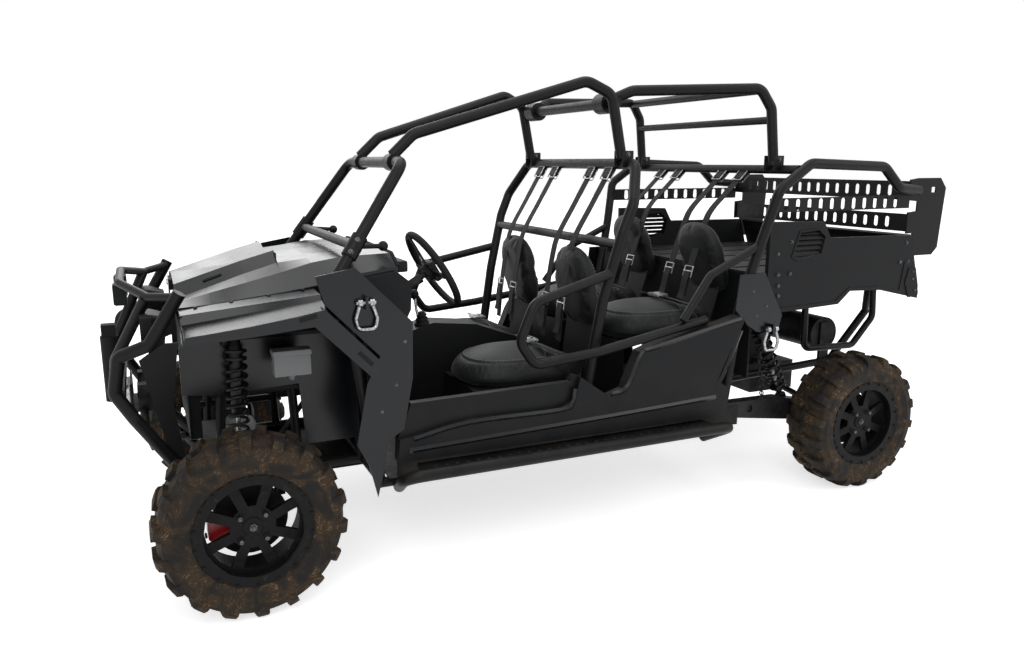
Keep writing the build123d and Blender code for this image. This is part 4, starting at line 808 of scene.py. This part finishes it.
def stitch_rows(pad, surface, is_back):
    """Short stitches beside the seams, laid on the finished cover."""
    work = bmesh.new()
    inside = SEAM_SHARE - 0.045
    round_panel = [(inside * pad.reach(a) * math.cos(a), inside * pad.reach(a) * math.sin(a))
                   for a in (2 * math.pi * i / 720 for i in range(721))]
    across = 0.74 * pad.half
    along_channel = [(channel_line(is_back, y) + 8, y) for y in (across * (i / 100 - 1) for i in range(201))]
    for path in (round_panel, along_channel):
        travelled, last = 0.0, path[0]
        for spot in path[1:]:
            travelled += math.dist(spot, last)
            if travelled >= STITCH_PITCH:
                travelled = 0.0
                run = Vector((spot[0] - last[0], spot[1] - last[1], 0)).normalized()
                above = Vector((spot[0] * MM, spot[1] * MM, 0.3))
                hit, normal = surface.ray_cast(above, Vector((0, 0, -1)))[:2]
                if hit is not None:
                    run = (run - normal * run.dot(normal)).normalized()
                    ends = [hit + run * shift * MM + normal * lift * MM
                            for shift, lift in ((-4, -0.5), (-2.5, 1.0), (2.5, 1.0), (4, -0.5))]
                    draw_along(work, ends, round_section(STITCH_R, 5))
            last = spot
    return work


def make_pads():
    """Four kinds of padded form, each made once and mirrored to the right of the vehicle."""
    bench = bpy.data.scenes.new("bench")                  # holds one pad at a time, so that its cloth runs fast
    for name, node, *sizes in SEAT_PADS:
        pad = Pad(*sizes)
        is_back = name.endswith("back")
        maker = bpy.data.objects.new(name + "_maker", bpy.data.meshes.new(name))
        bench.collection.objects.link(maker)
        work = raw_pad(pad)
        work.to_mesh(maker.data)
        work.free()
        fill_cover(maker, bench)
        smooth = maker.modifiers.new("smooth", "SUBSURF")
        smooth.levels = 1
        shaped = evaluated_mesh(maker, bench)
        bpy.data.objects.remove(maker)
        sew(shaped, pad, is_back)
        shaped.update()
        work = bmesh.new()
        work.from_mesh(shaped)
        surface = BVHTree.FromBMesh(work)
        stitches = stitch_rows(pad, surface, is_back)
        for face in work.faces:
            middle = face.calc_center_median()
            face.material_index = 0 if middle.z > 0 and pad.share(middle) < SEAM_SHARE else 1
        for side, mirror in (("left", Matrix()), ("right", Matrix.Scale(-1, 4, LEFT))):
            cover, rows = work.copy(), stitches.copy()
            for part_work in (cover, rows):
                bmesh.ops.transform(part_work, matrix=mirror @ pad.place, verts=part_work.verts)
            padded = finish_piece(f"{name}_{side}", "vehicle", "seat_fabric", cover, sharp=80)
            padded.data.materials.append(SIDE_FABRIC)
            finish_piece(f"{name}_{side}_stitches", "vehicle", "seat_fabric", rows, THREAD)
        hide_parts(node)
        work.free()
        stitches.free()
    bpy.data.scenes.remove(bench)


make_pads()


# ---- harnesses ---------------------------------------------------------------------------------------
STRAP_W, STRAP_T = 44.0, 3.0
STRAP_Y = (172.0, 320.0)
STRAPS = {                  # row: hanger, bend over the back, end beside the cushion, adjuster's height
    "front": ((-1582, 1478), (-1400, 1152), (-1338, 750), 905),
    "rear": ((-2294, 1458), (-2102, 1264), (-1975, 905), 1010),
}


def make_harnesses():
    """Shoulder webbing from its hangers over the seat backs, with adjusters, tails and hanger clips."""
    webbing, metal, clips = bmesh.new(), bmesh.new(), bmesh.new()
    flat = flat_section(STRAP_W, STRAP_T)
    for hanger, bend, low, adjuster in STRAPS.values():
        for y in (*STRAP_Y, *[-place for place in STRAP_Y]):
            top, middle, end = [at(x, y, z) for x, z in (hanger, bend, low)]
            over = middle + Vector((8, 0, 6)) * MM
            route = smooth_route([top, top.lerp(over, 0.5), over.lerp(top, 0.12), over.lerp(end, 0.12),
                                  over.lerp(end, 0.6) + Vector((6, 0, 0)) * MM, end], 8)
            draw_along(webbing, route, flat, LEFT)
            run = (middle - top).normalized()
            up = run.cross(LEFT)
            clip = top + run * 26 * MM
            lean = Matrix((run, LEFT, up)).transposed().to_4x4()
            block(clips, clip, (46, STRAP_W + 12, 16), 4, lean)
            frame_corners = [(34, 28), (34, -28), (-22, -28), (-22, 28)]
            ring = [clip + run * u * MM + LEFT * v * MM - up * 9 * MM for u, v in frame_corners]
            ring += [clip + run * u * MM + LEFT * v * MM + up * 9 * MM for u, v in frame_corners]
            for corners in (ring[:4], ring[4:]):
                bend_ring(metal, corners, 2.6)
            spot = min(route, key=lambda point: abs(point.z - adjuster * MM))
            index = route.index(spot)
            run = (route[index + 1] - spot).normalized()
            up = run.cross(LEFT)
            up = up if up.x > 0 else -up
            bars = [(-24, 29), (-24, -29), (24, -29), (24, 29)]
            corners = [spot + run * u * MM + LEFT * v * MM + up * 4 * MM for u, v in bars]
            bend_ring(metal, corners, 3.2)
            draw_along(metal, [spot - LEFT * 29 * MM + up * 5 * MM, spot + LEFT * 29 * MM + up * 5 * MM],
                       flat_section(10, 5, 1.5))
            tail = [spot + (run * along + up * lift) * MM
                    for along, lift in ((-4, 6), (40, 11), (95, 8), (130, 12))]
            draw_along(webbing, smooth_route(tail, 5), flat, LEFT)
    piece = finish_piece("shoulder_webbing", "vehicle", "webbing", webbing)
    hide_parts("harnesses")
    finish_piece("harness_metal", "vehicle", "steel", metal)
    finish_piece("hanger_clips", "vehicle", "dark_plastic", clips)


make_harnesses()


# ---- lap belts ---------------------------------------------------------------------------------------
def make_lap_belts():
    """Lap webbing from each side of a cushion to the latch that rests on its crown."""
    webbing, metal = bmesh.new(), bmesh.new()
    for x, z in ((-1300, 700), (-1950, 850)):
        for middle in (SEAT_Y, -SEAT_Y):
            for side in (1, -1):
                points = [at(x - 30, middle + side * 222, z - 55), at(x + 10, middle + side * 214, z + 20),
                          at(x + 60, middle + side * 150, z + 47), at(x + 85, middle + side * 62, z + 58)]
                draw_along(webbing, smooth_route(points, 8), flat_section(STRAP_W, STRAP_T),
                           Vector((0.9, 0, 0.2)))
            block(metal, at(x + 90, middle, z + 62), (58, 84, 14), 5)
            turn(metal, at(x + 90, middle, z + 66), (0, 0, 1), [(0, 20), (5, 20), (7, 17), (7, 6)], 24)
    finish_piece("lap_webbing", "vehicle", "webbing", webbing)
    finish_piece("lap_latches", "vehicle", "steel", metal)


make_lap_belts()


# ---- feet of the folding cages -----------------------------------------------------------------------
CAGE_FEET = [(-1576, 428, 1500), (-2284, 517, 1482)]


def fit_cage_feet():
    """Cheek plates that hold each cage foot on its hoop, with the bolts through them."""
    plates, bolts = bmesh.new(), bmesh.new()
    for x, y, z in both_sides(CAGE_FEET):
        for cheek in (-31, 31):
            block(plates, at(x, y + cheek, z + 12), (52, 5, 66), 2)
            out = LEFT if cheek > 0 else -LEFT
            cap_bolt(bolts, at(x, y + cheek, z + 30) + out * 2.5 * MM, out, 8)
    finish_piece("cage_foot_cheeks", "vehicle", "black_tube", plates)
    finish_piece("cage_foot_bolts", "vehicle", "steel", bolts, BOLT_STEEL)


fit_cage_feet()


# ---- winch -------------------------------------------------------------------------------------------
def wind_winch():
    """Rope wound on the drum in close turns, the fairlead's rollers and the hook at rest on them."""
    rope, metal, frame_work = bmesh.new(), bmesh.new(), bmesh.new()
    turns, step = 22, 28
    route = []
    for index in range(turns * step + 1):
        angle, share = 2 * math.pi * index / step, index / (turns * step)
        route.append(at(270 + 46 * math.cos(angle), -84 + 168 * share, 640 + 46 * math.sin(angle)))
    draw_along(rope, route, round_section(3.9, 8))
    for z in (618, 662):
        turn(metal, at(346, -78, z), LEFT, [(0, 9), (2, 11), (154, 11), (156, 9)], 24)
    for y in (-88, 88):
        turn(metal, at(346, y, 606), (0, 0, 1), [(0, 9), (2, 11), (66, 11), (68, 9)], 24)
        block(frame_work, at(338, y * 1.22, 640), (8, 20, 92), 3)
    for z in (594, 686):
        block(frame_work, at(338, 0, z), (8, 234, 16), 3)
    bend = [at(352, 20, 640), at(358, 34, 650), at(360, 44, 668), at(360, 30, 682), at(360, 14, 674)]
    draw_along(metal, smooth_route(bend, 8), round_section(5.5, 12))
    turn(metal, at(334, 18, 638), (1, 0.1, 0.1), [(0, 6), (6, 9), (18, 9), (22, 6)], 16)
    finish_piece("winch_rope", "vehicle", "webbing", rope)
    finish_piece("winch_rollers", "vehicle", "steel", metal)
    finish_piece("fairlead_frame", "vehicle", "black_tube", frame_work)


wind_winch()


# ---- lamps -------------------------------------------------------------------------------------------
def dome(work, place, half, height, power=5.0, rings=10, around=48):
    """Bulged disc with a rounded-square plan, from its rim to its crown and flat behind."""
    shapes = []
    for step in range(rings + 1):
        angle = 0.5 * math.pi * (1 - step / (rings + 0.15))
        rim = []
        for index in range(around):
            turn_angle = 2 * math.pi * index / around
            c, s = math.cos(turn_angle), math.sin(turn_angle)
            reach = (abs(c / half[0]) ** power + abs(s / half[1]) ** power) ** (-1 / power)
            rim.append(place @ Vector((reach * c * math.sin(angle) * MM, reach * s * math.sin(angle) * MM,
                                       height * math.cos(angle) * MM)))
        shapes.append(rim)
    skin(work, shapes)


FORWARD = Matrix.Rotation(math.radians(90), 4, "Y")      # turns a piece's height to the front


def fit_lamps():
    """Bright bowls behind clear lenses in the headlamps, and smoked lenses with rims on the bar lamps."""
    bowls, lenses, smoked, rims = bmesh.new(), bmesh.new(), bmesh.new(), bmesh.new()
    for side in (1, -1):
        head = Matrix.Translation(at(277, side * 312, 945)) @ FORWARD
        dome(bowls, head, (40, 66), 4, 4.0)
        for shift in (-32, 32):
            dome(bowls, Matrix.Translation(at(279, side * 312 + shift, 945)) @ FORWARD, (22, 24), 7, 2.2)
        dome(lenses, Matrix.Translation(at(283.5, side * 312, 945)) @ FORWARD, (41, 67), 5, 4.5)
        front = Matrix.Translation(at(362, side * 123, 1034)) @ FORWARD
        dome(smoked, front, (30, 29), 5, 5.0)
        corners = [(33, 32), (33, -32), (-33, -32), (-33, 32)]
        spots = [front @ Vector((u * MM, v * MM, 1.5 * MM)) for u, v in corners]
        bend_ring(rims, spots, 3.5, stops=(0.04, 0.5, 0.96))
    finish_piece("headlamp_bowls", "vehicle", "steel", bowls, REFLECTOR)
    finish_piece("headlamp_lenses", "vehicle", "lamp_lens", lenses)
    finish_piece("bar_lamp_lenses", "vehicle", "lamp_lens", smoked, SMOKED)
    finish_piece("bar_lamp_rims", "vehicle", "dark_plastic", rims)


fit_lamps()


# ---- hood and wings ----------------------------------------------------------------------------------
# x, z at y 446, then y, z at x -600
HOOD_SEAM = [(165, 1016), (60, 1022), (-70, 1037), (-192, 1050), (-300, 1066), (-410, 1097)]
HOOD_REAR_EDGE = [(446, 1122), (360, 1164), (280, 1166), (200, 1168), (0, 1171)]


def trim_hood():
    """Gaskets along the seams, push rivets, rubber edge trim, pull latches and mesh in the scoops."""
    gasket, rivets, latches, mesh = bmesh.new(), bmesh.new(), bmesh.new(), bmesh.new()
    for side in (1, -1):
        seam = [at(x, side * 447, z + 1) for x, z in HOOD_SEAM]
        draw_along(gasket, [a.lerp(b, s / 6) for a, b in zip(seam, seam[1:]) for s in range(6)] + seam[-1:],
                   round_section(3.0, 8))
        for a, b in zip(seam, seam[1:]):
            spot = a.lerp(b, 0.5) + Vector((0, side * 16, 1.5)) * MM
            turn(rivets, spot, (0, 0.1 * side, 1), [(-2, 7), (1, 7), (2.5, 5), (2.5, 2)], 16)
        middle = at(-345, side * 448, 1083)
        block(latches, middle, (26, 14, 58), 4)
        block(latches, middle + Vector((0, side * 9, 14)) * MM, (38, 8, 12), 3)
        for index in range(7):
            y = side * (206 + 11 * index)
            draw_along(mesh, [at(-189, y, 1138), at(-189, y, 1172)], round_section(1.4, 6))
        for z in (1146, 1155, 1164):
            draw_along(mesh, [at(-189, side * 202, z), at(-189, side * 276, z)], round_section(1.4, 6))
    edge = [at(-602, y, z) for y, z in HOOD_REAR_EDGE]
    edge += [at(-602, -y, z) for y, z in reversed(HOOD_REAR_EDGE[:-1])]
    draw_along(gasket, [a.lerp(b, s / 5) for a, b in zip(edge, edge[1:]) for s in range(5)] + edge[-1:],
               round_section(7.0, 12))
    finish_piece("hood_gaskets", "vehicle", "grip", gasket)
    finish_piece("wing_rivets", "vehicle", "dark_plastic", rivets)
    finish_piece("hood_latches", "vehicle", "grip", latches)
    finish_piece("scoop_mesh", "vehicle", "dark_plastic", mesh)


def inset_wings():
    """Dark recessed insets in the wing's lip and in the strip behind the wheel."""
    work = bmesh.new()
    for side in (1, -1):
        for x, z, long, lean in ((-215, 1003, 58, 12), (-400, 850, 66, -46)):
            turn_by = Matrix.Rotation(math.radians(lean), 4, "Y")
            block(work, at(x, side * 720, z), (long, 5, 15), 2, turn_by)
            block(work, at(x, side * 720, z), (long - 12, 8, 8), 2, turn_by)
    finish_piece("wing_insets", "vehicle", "dark_plastic", work)


trim_hood()
inset_wings()


# ---- sills -------------------------------------------------------------------------------------------
SILL_FACE = 662.0
SWAGE = [(-3, 9), (-3, -11), (0, -11), (6, -2), (0, 9)]       # out and up, in millimetres
SWAGE_ROUTES = [            # face, then x, z from rear to front
    (SILL_FACE, [(-2036, 848), (-1950, 833), (-1603, 766), (-1541, 746), (-1476, 614), (-1402, 594)]),
    (SILL_FACE, [(-2036, 800), (-1990, 690), (-1938, 584)]),
    (SILL_FACE, [(-1240, 634), (-1228, 580), (-1170, 556), (-798, 556), (-580, 522)]),
    (SILL_FACE, [(-1920, 520), (-1400, 502), (-560, 480)]),
]


def press_swages():
    """Raised swages that stiffen the sills along their upper edges, at the rear and below the door gap."""
    work = bmesh.new()
    for face, line in SWAGE_ROUTES:
        for side in (1, -1):
            route = smooth_route([at(x, side * face, z) for x, z in line], 6)
            draw_along(work, route, SWAGE if side > 0 else [(u, -v) for u, v in SWAGE], LEFT * side)
    finish_piece("sill_swages", "vehicle", "body_plastic", work, sharp=20)


press_swages()


# ---- fittings in the wheel arch and under the body ---------------------------------------------------
def grey_abs():
    """Pale grey moulded ABS of a junction box: satin, with a trace of dust."""
    material, tree, shader, place = start_finish("grey_abs", "#77797a", 0.5, ior=1.53, shine=0.3)
    settle_dust(tree, shader, place, "#77797a", "#5a5349", 0.6, 30.0)
    raise_grain(tree, shader, place, 4.0, 0.1)
    return material


def fit_arch_boxes():
    """Junction box on its bracket behind each front shock, with a lid and a cable gland."""
    work, bracket = bmesh.new(), bmesh.new()
    for side in (1, -1):
        block(work, at(-190, side * 486, 800), (128, 62, 74), 7)
        block(work, at(-190, side * 486, 846), (134, 68, 20), 6)
        turn(work, at(-190, side * 486, 763), (0, 0, -1), [(-2, 13), (12, 13), (16, 10), (20, 7)], 16)
        block(bracket, at(-190, side * 401, 822), (90, 118, 5), 2)
        block(bracket, at(-190, side * 452, 800), (90, 5, 48), 2)
    finish_piece("junction_boxes", "vehicle", "dark_plastic", work, grey_abs())
    finish_piece("junction_brackets", "vehicle", "black_tube", bracket)


def hang_chains():
    """Limit chains from the quarter plates down to the trailing arms."""
    work = bmesh.new()
    for side in (1, -1):
        hangs = [(-2196, 641, 770), (-2187, 612, 640), (-2238, 585, 520), (-2280, 530, 420)]
        route = smooth_route([at(x, side * y, z) for x, y, z in hangs], 40)
        travelled, last, flat = 0.0, route[0], False
        for index, spot in enumerate(route[1:-1], 1):
            travelled += (spot - last).length
            last = spot
            if travelled < 19 * MM:
                continue
            travelled, flat = 0.0, not flat
            run = (route[index + 1] - spot).normalized()
            first, second = square_to(run)
            wide = first if flat else second
            ring = [spot + run * 14 * MM * math.cos(a) + wide * 8 * MM * math.sin(a)
                    for a in (2 * math.pi * i / 12 for i in range(12))]
            draw_along(work, ring, round_section(2.6, 6), closed=True)
    finish_piece("limit_chains", "vehicle", "spring_black", work)


def fin_radiator():
    """Thin cooling fins over the radiator's face."""
    low, high = [Vector(corner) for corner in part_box("radiator")]
    work = bmesh.new()
    count = 34
    for index in range(count):
        z = low.z + (high.z - low.z) * (index + 1) / (count + 1)
        block(work, Vector((high.x + 1.2 * MM, 0, z)), (5, (high.y - low.y) / MM - 60, 3.2), 0.8)
    finish_piece("radiator_fins", "vehicle", "cast_metal", work)


fit_arch_boxes()
hang_chains()
fin_radiator()


# ---- controls ----------------------------------------------------------------------------------------
def fit_controls():
    """Pad on the steering wheel, gauge pod, switches and shift lever."""
    facing = Vector((-math.cos(math.radians(31)), 0, math.sin(math.radians(31))))
    hub = at(-787, 300, 1084)
    lean = Matrix((facing.cross(LEFT), LEFT, facing)).transposed().to_4x4()
    pad = bmesh.new()
    block(pad, hub - facing * 6 * MM, (84, 92, 26), 9, lean)
    block(pad, hub + facing * 9 * MM, (52, 60, 6), 2.5, lean)
    finish_piece("steering_pad", "steering_wheel", "dark_plastic", pad)
    low, high = [Vector(corner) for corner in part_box("dash")]
    pod, glass, switches = bmesh.new(), bmesh.new(), bmesh.new()
    face = low.x
    block(switches, Vector((face + 2 * MM, 0.04, high.z - 0.085)), (12, 250, 46), 4)
    for index in range(6):
        block(switches, Vector((face - 5 * MM, -0.055 + 0.038 * index, high.z - 0.085)), (12, 22, 34), 3)
    for y in (-0.30, -0.16):
        turn(switches, Vector((face + 4 * MM, y, high.z - 0.07)), (-1, 0, 0),
             [(0, 34), (8, 34), (10, 30), (10, 12)], 28)
    block(pod, Vector((face + 40 * MM, 0.30, high.z + 0.006)), (110, 168, 44), 12)
    dome(glass, Matrix.Translation(Vector((face - 15 * MM, 0.30, high.z + 0.006))) @ Matrix.Rotation(
        math.radians(-90), 4, "Y"), (15, 62), 4, 3.0)
    finish_piece("gauge_pod", "vehicle", "dark_plastic", pod)
    finish_piece("gauge_glass", "vehicle", "lamp_lens", glass, SMOKED)
    finish_piece("dash_switches", "vehicle", "dark_plastic", switches)
    low, high = [Vector(corner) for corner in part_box("console")]
    lever, knob = bmesh.new(), bmesh.new()
    foot = Vector((high.x - 0.12, 0.03, high.z - 0.02))
    top = foot + Vector((0.03, 0, 0.13))
    bow = foot.lerp(top, 0.5) + Vector((0.008, 0, 0))
    draw_along(lever, smooth_route([foot, bow, top], 6), round_section(6, 12))
    turn(knob, top, (0.2, 0, 1), [(-6, 9), (0, 16), (12, 20), (24, 18), (32, 10), (33, 4)], 24)
    for step, radius in enumerate((34, 27, 29, 22, 24, 16)):
        fold = foot + Vector((0.002, 0, 0.012 + 0.009 * step))
        turn(knob, fold, (0.2, 0, 1), [(0, radius), (9, radius - 4)], 24)
    finish_piece("shift_lever", "vehicle", "steel", lever)
    finish_piece("shift_knob", "vehicle", "grip", knob)


fit_controls()
